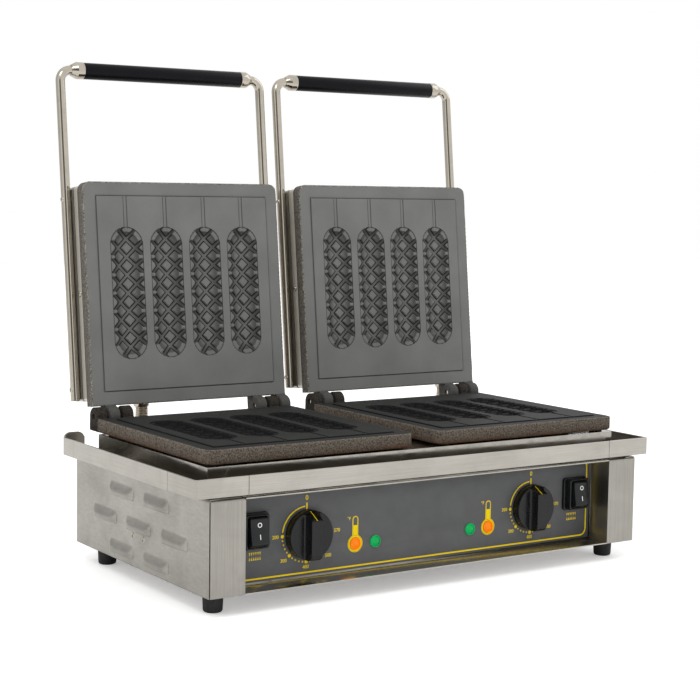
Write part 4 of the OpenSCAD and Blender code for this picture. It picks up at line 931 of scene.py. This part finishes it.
class WAFFLE_OT_rim(bpy.types.Operator):
    """Bends the strips of the drip rim: front, corners, and sides with their raised rear tabs"""
    bl_idname = "waffle.rim"
    bl_label = "Drip rim"

    def execute(self, context):
        thick = RIM_HIGH[1] - RIM_LOW[1]
        low, top = RIM_LOW[2], RIM_HIGH[2]
        profile = [(0, low), (0, top), (thick, top), (thick, low)]
        front, rim_x, back = RIM_LOW[1], CORNER_HIGH[0], RIM_SIDE_HIGH[1]
        ends = [(RIM_LOW[0], front), (RIM_HIGH[0], front)]
        self.strip("rim_strip_front", sweep(profile, ends), "rim_front")
        turn = arc((rim_x - RIM_BEND, front + RIM_BEND), RIM_BEND, -90, 0, 6)
        corner = np.concatenate([[(CORNER_LOW[0], front)], turn, [(rim_x, CORNER_HIGH[1])]])
        seam, tab = back - TAB_RUN, RIM_SIDE_HIGH[0] - RIM_SIDE_LOW[0]
        across = np.linspace(RIM_BEND, tab, 40)[1:]
        straight = np.array([(rim_x, RIM_SIDE_LOW[1]), (rim_x, seam - RIM_SEAM)])
        bend = arc((rim_x - RIM_BEND, back - RIM_BEND), RIM_BEND, 0, 90, 6)
        side = np.concatenate([[(rim_x, seam + RIM_SEAM)], bend,
                               np.column_stack([rim_x - across, np.full(len(across), back)])])
        inward = rim_x - side[:, 0]
        rise = RIM_SIDE_HIGH[2] - top
        lift = np.maximum(rise - TAB_R + rolled(np.minimum(inward, tab - inward), TAB_R), 0)
        lift[0] = 0
        for name, sign in SIDES.items():
            corner_path, straight_path, side_path = (
                (path * [sign, 1])[::sign] for path in (corner, straight, side))
            self.strip("rim_bend_" + name, sweep(profile, corner_path), "rim_corner_" + name)
            strips = [sweep(profile, straight_path),
                      sweep(profile, side_path, lift[::sign], (0.0, 1.0, 1.0, 0.0))]
            self.strip("rim_strip_" + name, joined(strips), "rim_side_" + name)
        return DONE

    def strip(self, name, shape, node):
        piece(name, shape, "stainless_rim", "base", "stainless", [node], bevel=0.55)


def louvre_height(y, z):
    """How far a side panel stands out: each louvre is the lesser of a bow along y, 1 - (2y/l)^8, and a
    slope down z."""
    height = np.zeros_like(y)
    slope = LOUVRE_RISE / (0.8 * LOUVRE_H)
    for row, count in LOUVRE_ROWS.items():
        for i in range(count):
            dy = y - BODY_MID_Y - (i - (count - 1) / 2) * LOUVRE_PITCH
            dz = z - BODY_MID_Z + LOUVRE_DROP - row * LOUVRE_ROW
            bow = LOUVRE_RISE * (1 - np.minimum(np.abs(2 * dy / LOUVRE_L), 1) ** 8)
            ramp = (LOUVRE_H / 2 - dz) * slope
            hood = np.minimum(bow, LOUVRE_RISE * smooth(0, LOUVRE_RISE, ramp))
            height = np.maximum(height, np.where(np.abs(dz) < LOUVRE_H / 2, hood, 0))
    return height


class WAFFLE_OT_side_panels(bpy.types.Operator):
    """Presses the louvred side panels"""
    bl_idname = "waffle.side_panels"
    bl_label = "Louvred side panels"

    def execute(self, context):
        fold_r, slit = 2.0, 0.02
        lips = [BODY_MID_Z - LOUVRE_DROP + row * LOUVRE_ROW - LOUVRE_H / 2 for row in LOUVRE_ROWS]
        y_lines = np.arange(BODY_FRONT + POST_T + 0.04, BODY_BACK + 0.01, 1.15)
        y_lines = np.append(y_lines[:-1], BODY_BACK)
        z_lines = np.sort(np.concatenate([np.linspace(BODY_LOW, BODY_TOP - fold_r, 74)]
                                         + [[lip - slit, lip + slit] for lip in lips]))
        fold = arc((-fold_r, BODY_TOP - fold_r), fold_r, 0, 90, 5)[1:]
        out = np.concatenate([np.zeros(len(z_lines)), fold[:, 0], [-(BODY_X - PANEL_LOW[0])]])
        level = np.concatenate([z_lines, fold[:, 1], [BODY_TOP]])
        y, z = np.meshgrid(y_lines, level, indexing="ij")
        height = louvre_height(y, z)
        lip = np.min([np.abs(z - at - 0.3) for at in lips], axis=0)
        # Painted highlight along each louvre's lip, and painted shade over the sheet and hoods, kept in one
        # tag
        glint = 0.35 * bell(lip, 0.6) * np.minimum(height / 1.5, 1)
        pressed = 0.5 + 0.4 * np.minimum(height / LOUVRE_RISE, 1) - 1.6 * glint
        x = BODY_X + out[None, :] + np.where(out[None, :] == 0, height, 0)
        quads = grid_quads(*y.shape)
        flat = height.reshape(-1)[quads]
        quads = quads[flat.max(1) - flat.min(1) < 0.55 * LOUVRE_RISE]
        for name, sign in SIDES.items():
            sheet = Shape(np.stack([sign * x, y, z], -1), quads[:, ::sign])
            obj = piece("louvred_panel_" + name, sheet, "stainless_sides", "base", "stainless",
                        ["side_panel_" + name], sharp=60, solid=False, tags={"pressed": pressed.reshape(-1)})
            thickness = obj.modifiers.new("sheet", "SOLIDIFY")
            thickness.thickness, thickness.offset = SHEET * MM, -1.0
        return DONE


class WAFFLE_OT_posts(bpy.types.Operator):
    """Folds the two front posts beside the control recess"""
    bl_idname = "waffle.posts"
    bl_label = "Front posts"

    def execute(self, context):
        centre = (POST_FOLD, BODY_TOP - POST_FOLD)
        profile = np.concatenate([[(0, BODY_LOW)], arc(centre, POST_FOLD, 180, 90, 8),
                                  [(POST_FLANGE, BODY_TOP), (POST_FLANGE, BODY_TOP - POST_T)],
                                  arc(centre, POST_FOLD - POST_T, 90, 180, 8), [(POST_T, BODY_LOW)]])
        path = np.array([(PANEL_X, PANEL_Y), (PANEL_X, BODY_FRONT), (BODY_X, BODY_FRONT)])
        for name, sign in SIDES.items():
            post = sweep(profile, (path * [sign, 1])[::sign])
            piece("folded_post_" + name, post, "stainless_posts", "base", "stainless",
                  ["front_post_" + name], bevel=0.35, sharp=40)
        return DONE


class WAFFLE_OT_sheets(bpy.types.Operator):
    """Rounds the edges of the flat sheets of the casing and of the glands"""
    bl_idname = "waffle.sheets"
    bl_label = "Tray, plateau, panels and glands"

    def execute(self, context):
        for node, name, look, slot, bevel in (
                ("drip_tray", "gutter_tray", "bright_sheet", "stainless", 0.3),
                ("plateau", "plate_plateau", "bright_sheet", "polished_steel", 0.5),
                ("bottom_pan", "shelf_pan", "polished_shelf", "stainless", 0.5),
                ("rear_panel", "back_sheet", "stainless_lids", "stainless", 0.3),
                ("panel_hood", "recess_hood", "bright_sheet", "stainless", 0.3),
                ("control_panel", "panel_sheet", "bright_sheet", "polished_steel", 0.2),
                ("panel_label", "label_sheet", "label_film", "label_print", 0.1),
                ("cable_gland", "mains_gland", "gland_nylon", "switch_black", 0.4),
                ("base_conduit_glands", "rear_glands", "nickel_plate", "polished_steel", 0.4),
                ("lid_conduit_gland_left", "lid_gland_left", "nickel_plate", "polished_steel", 0.4),
                ("lid_conduit_gland_right", "lid_gland_right", "nickel_plate", "polished_steel", 0.4)):
            softened(node, name, look, bevel)
        return DONE


class WAFFLE_OT_feet(bpy.types.Operator):
    """Turns the four rubber feet"""
    bl_idname = "waffle.feet"
    bl_label = "Rubber feet"

    def execute(self, context):
        top, low = FEET_HIGH[2], FOOT_R - 0.7
        foot = lathe([(0, low - 4.0), (0.0, low - 2.2), (0.5, low - 1.0), (1.3, low - 0.3), (2.2, low),
                      (top - 3.2, FOOT_R - 0.15), (top - 2.9, FOOT_R - 0.6), (top - 2.3, FOOT_R - 0.6),
                      (top - 2.0, FOOT_R - 0.1), (top - 0.4, FOOT_R), (top, FOOT_R - 0.4)], 56)
        places = [(x, y, 0) for x in (FEET_LOW[0] + FOOT_R, FEET_HIGH[0] - FOOT_R)
                  for y in (FEET_LOW[1] + FOOT_R, FEET_HIGH[1] - FOOT_R)]
        feet = joined([foot.placed(place) for place in places])
        piece("rubber_feet", feet, "foot_rubber", "base", "foot_rubber", ["feet"])
        return DONE


# Controls

def knob_height(x, y):
    """Height of a knob over its panel: the lesser, softly joined, of the bar's top, the quarter ellipses
    that fall from the bar to the flat disc on both sides and at its lower end, and the slope cut across
    its upper end."""
    rise, softness = KNOB_H - KNOB_DISC, 0.3
    beside = np.clip((np.abs(x) - KNOB_BAR / 2) / KNOB_FILLET, 0, 1)
    dished = KNOB_DISC + rise * (1 - np.sqrt(1 - (1 - beside) ** 2))
    slope = KNOB_LOW + (KNOB_H - KNOB_LOW) * (KNOB_R - y) / KNOB_SLOPE
    lower = np.clip((-y - KNOB_END) / (KNOB_R - KNOB_END), 0, 1)
    tail = KNOB_DISC + rise * np.sqrt(1 - lower ** 2)
    parts = np.stack([dished, slope, tail, np.full_like(dished, KNOB_H)])
    least = parts.min(0)
    return least - softness * np.log(np.exp(-(parts - least) / softness).sum(0))


def knob_shape():
    """A knob as a disc grid whose lines run along its bar, with a skirt wall and a flat back."""
    foot, reach = KNOB_BAR / 2 + KNOB_FILLET, KNOB_R * 0.9998
    across = spread((-reach, reach, 0.8), (-foot, -foot + 4.4, 0.2), (foot - 4.4, foot, 0.2),
                    (-reach, -KNOB_R + 1.2, 0.15), (KNOB_R - 1.2, reach, 0.15))
    x, v = np.meshgrid(across, np.sin(np.radians(np.linspace(-90, 90, 90))), indexing="ij")
    y = v * np.sqrt(KNOB_R ** 2 - x ** 2)
    z = knob_height(x, y) - KNOB_ROLL + rolled(KNOB_R - np.hypot(x, y), KNOB_ROLL)
    grid = np.stack([x, y, z], -1)
    return walled(grid, [grid.reshape(-1, 3)[border(*x.shape)] * [1, 1, 0]])


def knob_pointer():
    """The painted line down the sloped end of a knob's bar, lying just over the surface."""
    x, y = np.meshgrid(np.array([-0.4, -0.15, 0.15, 0.4]), np.linspace(16.2, 23.2, 24), indexing="ij")
    z = knob_height(x, y)
    upper, lower = np.stack([x, y, z + 0.08], -1), np.stack([x, y, z - 0.1], -1)
    return loft(np.concatenate([upper, lower[::-1]]).transpose(1, 0, 2))


class WAFFLE_OT_knobs(bpy.types.Operator):
    """Presses the thermostat knobs with their painted pointers"""
    bl_idname = "waffle.knobs"
    bl_label = "Knobs"

    def execute(self, context):
        for name, sign in SIDES.items():
            body, origin = "knob_" + name, KNOB * [sign, 1, 1] + [0, -KNOB_GAP, 0]
            piece("dial_knob_" + name, knob_shape().placed(origin, PANEL_AXES), "bakelite_black", body,
                  "bakelite_black", [body], sharp=50)
            piece("dial_pointer_" + name, knob_pointer().placed(origin, PANEL_AXES), "yellow_ink", body,
                  "label_print")
        return DONE


def rocker_face(a):
    """Distance of a rocker's face from its pivot at the height a: a shallow dish."""
    return ROCKER_FACE - 0.7 * (1 - np.minimum(np.abs(a) / 12.0, 1) ** 2)


def on_rocker(sign):
    """Turns x, height a and distance b out from the pivot into the frame, tilted to the rocker's rest."""
    def turn(points):
        x, a, b = points.T
        s, c = math.sin(ROCKER_TILT), math.cos(ROCKER_TILT)
        return np.stack([sign * PIVOT[0] + x, PIVOT[1] - b * c + a * s, PIVOT[2] + b * s + a * c], -1)
    return turn


def rocker_mark(near, far, loop):
    """A printed band between two edges on the rocker's face, a tenth of a millimetre proud of it."""
    corners = ((near, 0.1), (far, 0.1), (far, -0.1), (near, -0.1))
    lifted = [np.column_stack([edge, rocker_face(edge[:, 1]) + height]) for edge, height in corners]
    return loft(np.stack(lifted, 1), loop)


class WAFFLE_OT_switches(bpy.types.Operator):
    """Moulds the switch housings and rockers, and prints the rockers' marks"""
    bl_idname = "waffle.switches"
    bl_label = "Rocker switches"

    def execute(self, context):
        # Each step of the housing: half width, half height, corner radius, level
        steps = [(16.0, 17.25, 3.0, 0.0), (16.0, 17.25, 3.0, 2.1), (15.7, 17.0, 2.8, 2.75),
                 (15.0, 16.7, 2.5, 3.0), (12.85, 16.3, 2.2, 3.05), (12.85, 16.3, 2.2, 8.4),
                 (12.55, 16.0, 2.0, 9.2), (12.0, 15.6, 1.8, 9.5), (10.45, 15.1, 1.2, 9.5),
                 (10.1, 14.75, 1.0, 9.2), (10.05, 14.7, 1.0, 8.0), (10.05, 14.7, 1.0, -5.0)]
        housing = ring_stack([rounded_rect(*step[:3], 7) for step in steps], [step[3] for step in steps])
        tall = math.sqrt(ROCKER_R ** 2 - ROCKER_FACE ** 2)
        end = math.degrees(math.atan2(ROCKER_FACE - 0.5, tall))
        a_face = np.linspace(tall - 0.4, -tall + 0.4, 24)
        outline = np.concatenate([np.column_stack([a_face, rocker_face(a_face)]),
                                  arc((0, 0), ROCKER_R, 180 - end, 210, 8),
                                  arc((0, 0), ROCKER_R, -30, end, 8)])
        half = ROCKER_W / 2
        stations = [(-half, 0.95), (-half + 0.2, 0.98), (-half + 0.7, 1.0), (half - 0.7, 1.0),
                    (half - 0.2, 0.98), (half, 0.95)]
        rocker = loft([np.column_stack([np.full(len(outline), x), outline * scale]) for x, scale in stations])
        angle, bar = once_round(48), np.linspace(-7.4, -2.6, 12)
        ring = [np.stack([r * np.cos(angle), 6.2 + r * np.sin(angle)], -1) for r in (1.5, 2.35)]
        line = [np.column_stack([np.full(len(bar), x), bar]) for x in (-0.42, 0.42)]
        marks = joined([rocker_mark(*ring, loop=True), rocker_mark(*line, loop=False)])
        for name, sign in SIDES.items():
            body = "rocker_" + name
            origin = (sign * PIVOT[0], LABEL_Y, PIVOT[2])
            piece("switch_frame_" + name, housing.placed(origin, PANEL_AXES), "abs_black", "base",
                  "switch_black", ["switch_housing_" + name], sharp=45)
            piece("switch_rocker_" + name, rocker.mapped(on_rocker(sign)), "abs_black", body, "switch_black",
                  [body], sharp=50)
            piece("switch_marks_" + name, marks.mapped(on_rocker(sign)), "white_ink", body, "label_print")
        return DONE


class WAFFLE_OT_lamps(bpy.types.Operator):
    """Moulds the faceted lenses of the pilot lamps"""
    bl_idname = "waffle.lamps"
    bl_label = "Pilot lamps"

    def execute(self, context):
        angle, foot = once_round(60), 0.6
        rim = [(LENS_R, 0.0), (LENS_R, 1.1), (LENS_R - 0.25, 1.5), (LENS_R - 0.8, 1.6), (LENS_R - 1.15, foot)]
        dome = [(r, foot + 2.7 * (1 - (r / 4.75) ** 2)) for r in np.linspace(4.6, 0.4, 14)]
        facets = [(r, level + 0.16 * np.cos(12 * angle) * min(r / 2.4, 1)) for r, level in dome]
        lens = loft([spun(radius, level, angle) for radius, level in rim + facets])
        for colour, (low, high) in LAMPS.items():
            level = (low[2] + high[2]) / 2
            lenses = [lens.placed((sign * (high[0] - LENS_R), LABEL_Y, level), PANEL_AXES) for sign in BOTH]
            piece("%s_lenses" % colour, joined(lenses), colour + "_lens", "base", colour + "_lens",
                  ["%s_lamps" % colour], sharp=30)
        return DONE


# Print

def stroke(path, width, closed=False):
    """A printed line of a given width along a path in the label's plane: a thin flat bar swept along it."""
    offset = mitred(path, closed) * width / 2
    path = np.asarray(path, float)
    left, right = path + offset, path - offset
    over, under = np.full(len(path), INK), np.full(len(path), -INK)
    corners = ((left, over), (right, over), (right, under), (left, under))
    return loft(np.stack([np.column_stack(corner) for corner in corners], 1), closed)


def patch(outline):
    """A printed area inside an outline."""
    return ring_stack([outline, outline], [INK, -INK])


def dot(x, z, radius):
    """A printed round dot."""
    return patch(arc((x, z), radius, 0, 345, 24))


def words(text, x, z, height):
    """Plain figures centred on a place in the label's plane, as a mesh of their own."""
    curve = bpy.data.curves.new("figures", "FONT")
    curve.body, curve.size = text, height / 0.7
    curve.align_x, curve.align_y = "CENTER", "CENTER"
    curve.extrude, curve.offset = INK, height * 0.012
    curve.resolution_u = 4
    source = bpy.data.objects.new("figures", curve)
    bpy.context.scene.collection.objects.link(source)
    mesh = bpy.data.meshes.new_from_object(source.evaluated_get(bpy.context.evaluated_depsgraph_get()))
    points = np.empty(len(mesh.vertices) * 3)
    mesh.vertices.foreach_get("co", points)
    faces = [np.array(polygon.vertices) for polygon in mesh.polygons]
    bpy.data.objects.remove(source)
    bpy.data.curves.remove(curve)
    bpy.data.meshes.remove(mesh)
    return Shape(points, np.empty((0, 4)), faces).placed((x, z, 0))


def dial_print(x, z, size):
    """Scale round a knob: an unbroken arc from 0, dots up to each marked heat, and the figures outside."""
    arcs = [stroke(arc((x, z), DIAL_R, 94, 172, 40), 1.3), stroke([(x, z + 24.2), (x, z + 30.2)], 1.5)]
    places = [(angle, 1.75) for angle in range(180, 361, 45)]
    places += [(angle, 0.85) for angle in range(189, 360, 9) if angle % 45]
    dots = [dot(*arc((x, z), DIAL_R, angle, angle, 1)[0], radius) for angle, radius in places]
    figures = [words(text, x + dx, z + dz, height) for text, dx, dz, height in (
        ("0", 0, 35, size * 1.35), ("200", -34.6, 0, size), ("300", -25.4, -23.5, size),
        ("400", -0.4, -32, size), ("500", 25.0, -23.5, size), ("570", 34.8, 0, size))]
    return arcs + dots + figures


def heat_print(x, z):
    """Sign for heat from above and below: a row of small wedges pointing down over one pointing up."""
    pitch, half, tall, gap = 2.3, 0.75, 3.2, 0.6
    wedges = []
    for i in np.arange(-2.5, 3):
        for way in (1, -1):
            root, tip = z + way * (gap + tall), z + way * gap
            outline = [(x + i * pitch - half, root), (x + i * pitch, tip), (x + i * pitch + half, root)]
            wedges.append(patch(np.array(outline)))
    return wedges


def thermometer_print(x, z, top):
    """Thermometer whose bulb is the lamp: a ring, a stem with a round head, and the filled column in it."""
    stem, ring, half = 2.9, 8.2, 2.2
    start = math.degrees(math.acos(stem / ring))
    outline = np.concatenate([arc((x, z), ring, 180 - start, 360 + start, 60),
                              arc((x, top - stem), stem, 0, 180, 20)])
    low, high = z + ring - 0.6, top - 8.5
    column = np.array([(x - half, low), (x + half, low), (x + half, high), (x - half, high)])
    disc = stroke(arc((x, z), 7.2, 0, 354, 60), 1.7, closed=True)
    return [stroke(outline, 0.9, closed=True), patch(column), disc, words("°F", x - 7.4, top - 1.6, 3.2)]


class WAFFLE_OT_label_print(bpy.types.Operator):
    """Prints the scales, signs and border line on the control panel's label"""
    bl_idname = "waffle.label_print"
    bl_label = "Label print"

    def execute(self, context):
        look = context.scene.waffle_maker
        lamp_low, lamp_high = LAMPS["orange"]
        lamp_z = (lamp_low[2] + lamp_high[2]) / 2
        low, high = 24.6, LABEL_HIGH[2] - 1.2
        frame_line = rounded_rect(LABEL_HIGH[0] - 4.4, (high - low) / 2, 7, 10) + [0, (low + high) / 2]
        shapes = [stroke(frame_line, 1.5, closed=True)]
        for sign in BOTH:
            shapes += dial_print(sign * KNOB[0], KNOB[2], look.figure_height)
            shapes += heat_print(sign * (PIVOT[0] - 2.5), HEAT_Z)
            shapes += thermometer_print(sign * (lamp_high[0] - LENS_R), lamp_z, THERMOMETER_TOP)
        ink = joined(shapes).placed((0, LABEL_Y, 0), PANEL_AXES)
        piece("label_ink", ink, "yellow_ink", "base", "label_print")
        return DONE


# Fasteners and hidden parts

def screw_head(radius, height):
    """A pan head on the plane z = 0: a dome whose top turns into a cross-shaped recess, worked out as
    radius over angle."""
    angle = once_round(64)
    turn = np.abs((angle + np.pi / 4) % (np.pi / 2) - np.pi / 4)
    cross = np.minimum(0.62 * radius / np.cos(turn), 0.17 * radius / np.maximum(np.sin(turn), 1e-6))
    floor = height - 0.34 * height
    steps = [(radius, 0.0), (radius, 0.3 * height), (0.96 * radius, 0.55 * height),
             (0.87 * radius, 0.78 * height), (0.74 * radius, 0.94 * height), (cross, height),
             (0.9 * cross, floor), (0.5 * cross, floor)]
    return loft([spun(r, level, angle) for r, level in steps])


class WAFFLE_OT_screws(bpy.types.Operator):
    """Sets cross-recessed heads on the screws of the side panels and of the lids"""
    bl_idname = "waffle.screws"
    bl_label = "Screw heads"

    def execute(self, context):
        out = {sign: np.array([[0, sign, 0], [0, 0, 1.0], [sign, 0, 0]]) for sign in BOTH}
        level = BODY_MID_Z - LOUVRE_ROW / 2
        head = screw_head(3.4, 1.8)
        heads = [head.placed((sign * BODY_X, BODY_MID_Y + k * SIDE_SCREW_PITCH, level), out[sign])
                 for sign in BOTH for k in (-0.5, 0.5)]
        piece("panel_screw_heads", joined(heads), "nickel_plate", "base", "polished_steel", sharp=40)
        shank = lathe([(-13.5, 1.6), (-13.0, 2.0), (0.2, 2.0)], 24)
        nut = lathe([(-12.6, 3.7), (-12.3, 4.0), (-10.1, 4.0), (-9.8, 3.7)], 6)
        stub = lathe([(-6.0, 1.4), (-5.6, 1.6), (0.2, 1.6)], 24)
        rod_screw = joined([screw_head(3.2, 1.9), shank, nut])
        band_screw = joined([screw_head(2.8, 1.8), stub])
        screws = [rod_screw.placed((sign * ROD_SCREW_SEAT, e, ROD_H), out[sign])
                  for sign in BOTH for e in ROD_SCREWS_E]
        screws += [band_screw.placed((sign * BAND_X, LID_MID, BAND_SCREW_H), out[sign]) for sign in BOTH]
        for side in SIDES:
            lid_piece(side, "lid_screw_heads", joined(screws), "nickel_plate", "polished_steel", "lid_screws",
                      sharp=40)
        return DONE


class WAFFLE_OT_kept_nodes(bpy.types.Operator):
    """Gives the CAD parts that stay in view or inside their finishes"""
    bl_idname = "waffle.kept_nodes"
    bl_label = "Finishes of the inner parts"

    def execute(self, context):
        looks = {
            "nickel_plate": ["casing_screws", "hinge_pins", "lower_plate_bolts", "knob_shaft_left",
                             "knob_shaft_right"],
            "bright_sheet": ["lower_reflectors"],
            "element_sheath": ["%s_element_%s" % (level, side) for level in ("lower", "upper")
                               for side in SIDES],
            "zinc_plate": ["thermostat_left", "thermostat_right"],
            "terminal_ceramic": ["terminal_block"],
        }
        for look, nodes in looks.items():
            for node in nodes:
                materials = frame["nodes"][node].data.materials
                materials.clear()
                materials.append(finish(look))
        return DONE


# Stage

class WAFFLE_OT_stage(bpy.types.Operator):
    """Sets the pale floor, the soft studio light and the camera"""
    bl_idname = "waffle.stage"
    bl_label = "Stage, light and camera"

    def execute(self, context):
        scene = context.scene
        look = scene.waffle_maker
        scene.view_settings.view_transform = "Standard"
        self.camera(scene, look)
        self.floor(scene)
        self.world(scene, look)
        target = Vector((0, 0, 0.2))
        for name, place, size, watts in (("key_light", (-1.5, -1.1, 2.4), 0.9, look.key_watts),
                                         ("fill_light", (1.9, -0.3, 1.6), 1.4, look.key_watts * 0.4)):
            lamp = bpy.data.lights.new(name, "AREA")
            lamp.energy, lamp.size = watts, size
            obj = bpy.data.objects.new(name, lamp)
            obj.location = place
            obj.rotation_euler = (target - obj.location).to_track_quat("-Z", "Y").to_euler()
            scene.collection.objects.link(obj)
        return DONE

    def camera(self, scene, look):
        """Looks along yaw (from +Y towards +X) and pitch, rolled about that line."""
        yaw, pitch, roll = look.camera_yaw, look.camera_pitch, look.camera_roll
        ahead = np.array([math.sin(yaw) * math.cos(pitch), math.cos(yaw) * math.cos(pitch), math.sin(pitch)])
        level = np.array([math.cos(yaw), -math.sin(yaw), 0])
        up = np.cross(level, ahead)
        right = math.cos(roll) * level + math.sin(roll) * up
        up = np.cross(right, ahead)
        data = bpy.data.cameras.new("camera")
        data.sensor_width, data.lens = 36.0, look.camera_lens
        obj = bpy.data.objects.new("camera", data)
        turn = Matrix(np.stack([right, up, -ahead], 1).tolist()).to_4x4()
        obj.matrix_world = Matrix.Translation(look.camera_place) @ turn
        scene.collection.objects.link(obj)
        scene.camera = obj

    def floor(self, scene):
        """A wide pale floor, a little under the feet, which takes the object's shadow."""
        lines, drop = np.linspace(-6000.0, 6000.0, 5), 0.05
        x, y = np.meshgrid(lines, lines, indexing="ij")
        mesh = Shape(np.stack([x, y, 0 * x - drop], -1), grid_quads(*x.shape)).mesh("floor")
        mesh.materials.append(self.paper())
        obj = bpy.data.objects.new("floor", mesh)
        scene.collection.objects.link(obj)

    def paper(self):
        """White background paper: a matt sheet with a hint of fibre, lifted to plain white for the camera
        alone, so that it still takes the shadow."""
        paper = Finish("studio_paper", Roughness=0.9, Specular_IOR_Level=0.0, Emission_Color=WHITE)
        fibre = paper.noise(8, 3.0)
        paper.feed("Base Color", paper.ramp(fibre, (0.3, srgb("#f4f4f4")), (0.7, srgb("#f8f8f8"))))
        seen = paper.add("LightPath", "Is Camera Ray")
        paper.feed("Emission Strength", paper.maths("MULTIPLY", seen, 0.3))
        return paper.material

    def world(self, scene, look):
        """White to the camera. To the object it is a studio: bright walls at both sides and a bright
        ceiling, with a dark stretch behind the camera and a dimmer one at the left back, which metal
        shows as streaks."""
        scene.world = bpy.data.worlds.new("studio")
        sky = Nodes(scene.world)
        place = sky.add("TexCoord", "Generated")
        split, _ = sky.add("SeparateXYZ", Vector=place)
        sideways = sky.maths("ABSOLUTE", (split, "X"))
        side_levels = (look.studio_level, look.studio_level + look.wall_level)
        walls = sky.ranged(sideways, (0.3, 0.85), side_levels, "SMOOTHSTEP")
        ceiling = sky.ranged((split, "Z"), (0.35, 0.9), (0.0, look.ceiling_level), "SMOOTHSTEP")
        behind = (-math.sin(look.camera_yaw), -math.cos(look.camera_yaw), 0.08)
        dims = []
        for way, come, low in ((behind, (0.9, 0.985), 0.15), ((-0.6, 0.8, 0.0), (0.3, 0.9), 0.7)):
            facing = sky.add("VectorMath", "Value", operation="DOT_PRODUCT", in0=place, in1=way)
            dims.append(sky.ranged(facing, come, (1.0, low), "SMOOTHSTEP"))
        levels = (sky.maths("ADD", walls, ceiling), sky.maths("MULTIPLY", *dims), 1.0)
        studio, mirrored, white = (sky.add("Background", Color=WHITE, Strength=level) for level in levels)
        ray, _ = sky.add("LightPath")
        inside = sky.add("MixShader", in0=(ray, "Is Glossy Ray"), in1=studio, in2=mirrored)
        seen = sky.add("MixShader", in0=(ray, "Is Camera Ray"), in1=inside, in2=white)
        sky.add("OutputWorld", Surface=seen)


# Settings, panel and registration

def colour_setting(name, description, code):
    return FloatVectorProperty(name=name, description=description, subtype="COLOR", size=4, min=0, max=1,
                               default=srgb(code))


def number_setting(name, description, default, **more):
    return FloatProperty(name=name, description=description, default=default, **more)


def angle_setting(name, description, degrees):
    return number_setting(name, description, math.radians(degrees), subtype="ANGLE")


class WaffleMakerSettings(bpy.types.PropertyGroup):
    """Sizes in millimetres, colours and stage of the waffle maker"""
    steel_colour: colour_setting("Steel", "Colour of the stainless sheet", "#bab6ae")
    iron_colour: colour_setting("Iron", "Colour of the blasted iron faces", "#6f6f6d")
    label_colour: colour_setting("Label", "Colour of the label's film", "#565758")
    ink_colour: colour_setting("Ink", "Colour of the label's print", "#ffdc08")
    brush_width: number_setting("Brush line", "Width of a brush line, mm", 0.9, min=0.1, max=5)
    mesh_step: number_setting("Mesh step", "Grid step in the moulds, mm", 0.7, min=0.3, max=3)
    edge_roll: number_setting("Rolled edge", "Radius of a casting's edges, mm", 1.3, min=0.2, max=4)
    ribs: IntProperty(name="Ribs", description="Number of ribs on a conduit", default=74, min=48, max=200)
    rib_depth: number_setting("Rib depth", "Depth of the conduit's ribs, mm", 0.9, min=0.1, max=1.5)
    figure_height: number_setting("Figures", "Height of the dial's figures, mm", 3.4, min=1, max=8)
    camera_place: FloatVectorProperty(name="Camera place", description="Where the camera stands",
                                      subtype="TRANSLATION", unit="LENGTH",
                                      default=(-0.96583, -1.45668, 0.39106))
    camera_yaw: angle_setting("Yaw", "Turn from +Y towards +X", 33.72)
    camera_pitch: angle_setting("Pitch", "Tilt above the horizon", -5.60)
    camera_roll: angle_setting("Roll", "Turn about the line of sight", 0.91)
    camera_lens: number_setting("Lens", "Focal length, mm on a 36 mm sensor", 84.64, min=10)
    key_watts: number_setting("Key light", "Power of the key light", 14.0, min=0, subtype="POWER")
    studio_level: number_setting("Studio", "Level of the studio's front and back", 0.76, min=0)
    wall_level: number_setting("Walls", "Added level of the bright side walls", 0.45, min=0)
    ceiling_level: number_setting("Ceiling", "Added level of the bright ceiling", 0.3, min=0)


OPERATORS = (WAFFLE_OT_stage, WAFFLE_OT_castings, WAFFLE_OT_conduits, WAFFLE_OT_handles, WAFFLE_OT_lid_shells,
             WAFFLE_OT_rim, WAFFLE_OT_side_panels, WAFFLE_OT_posts, WAFFLE_OT_sheets, WAFFLE_OT_feet,
             WAFFLE_OT_knobs, WAFFLE_OT_switches, WAFFLE_OT_lamps, WAFFLE_OT_label_print, WAFFLE_OT_screws,
             WAFFLE_OT_kept_nodes)


class WAFFLE_PT_panel(bpy.types.Panel):
    """Lists the steps that build the waffle maker, and its settings"""
    bl_label = "Waffle maker"
    bl_idname = "WAFFLE_PT_panel"
    bl_space_type = "VIEW_3D"
    bl_region_type = "UI"
    bl_category = "Waffle maker"

    def draw(self, context):
        for step in OPERATORS:
            self.layout.operator(step.bl_idname)
        for name in WaffleMakerSettings.__annotations__:
            self.layout.prop(context.scene.waffle_maker, name)


CLASSES = (WaffleMakerSettings, *OPERATORS, WAFFLE_PT_panel)


def register():
    for item in CLASSES:
        bpy.utils.register_class(item)
    bpy.types.Scene.waffle_maker = PointerProperty(type=WaffleMakerSettings)


def unregister():
    del bpy.types.Scene.waffle_maker
    for item in reversed(CLASSES):
        bpy.utils.unregister_class(item)


def main():
    register()
    for step in OPERATORS:
        group, name = step.bl_idname.split(".")
        getattr(getattr(bpy.ops, group), name)()


if __name__ == "__main__":
    main()
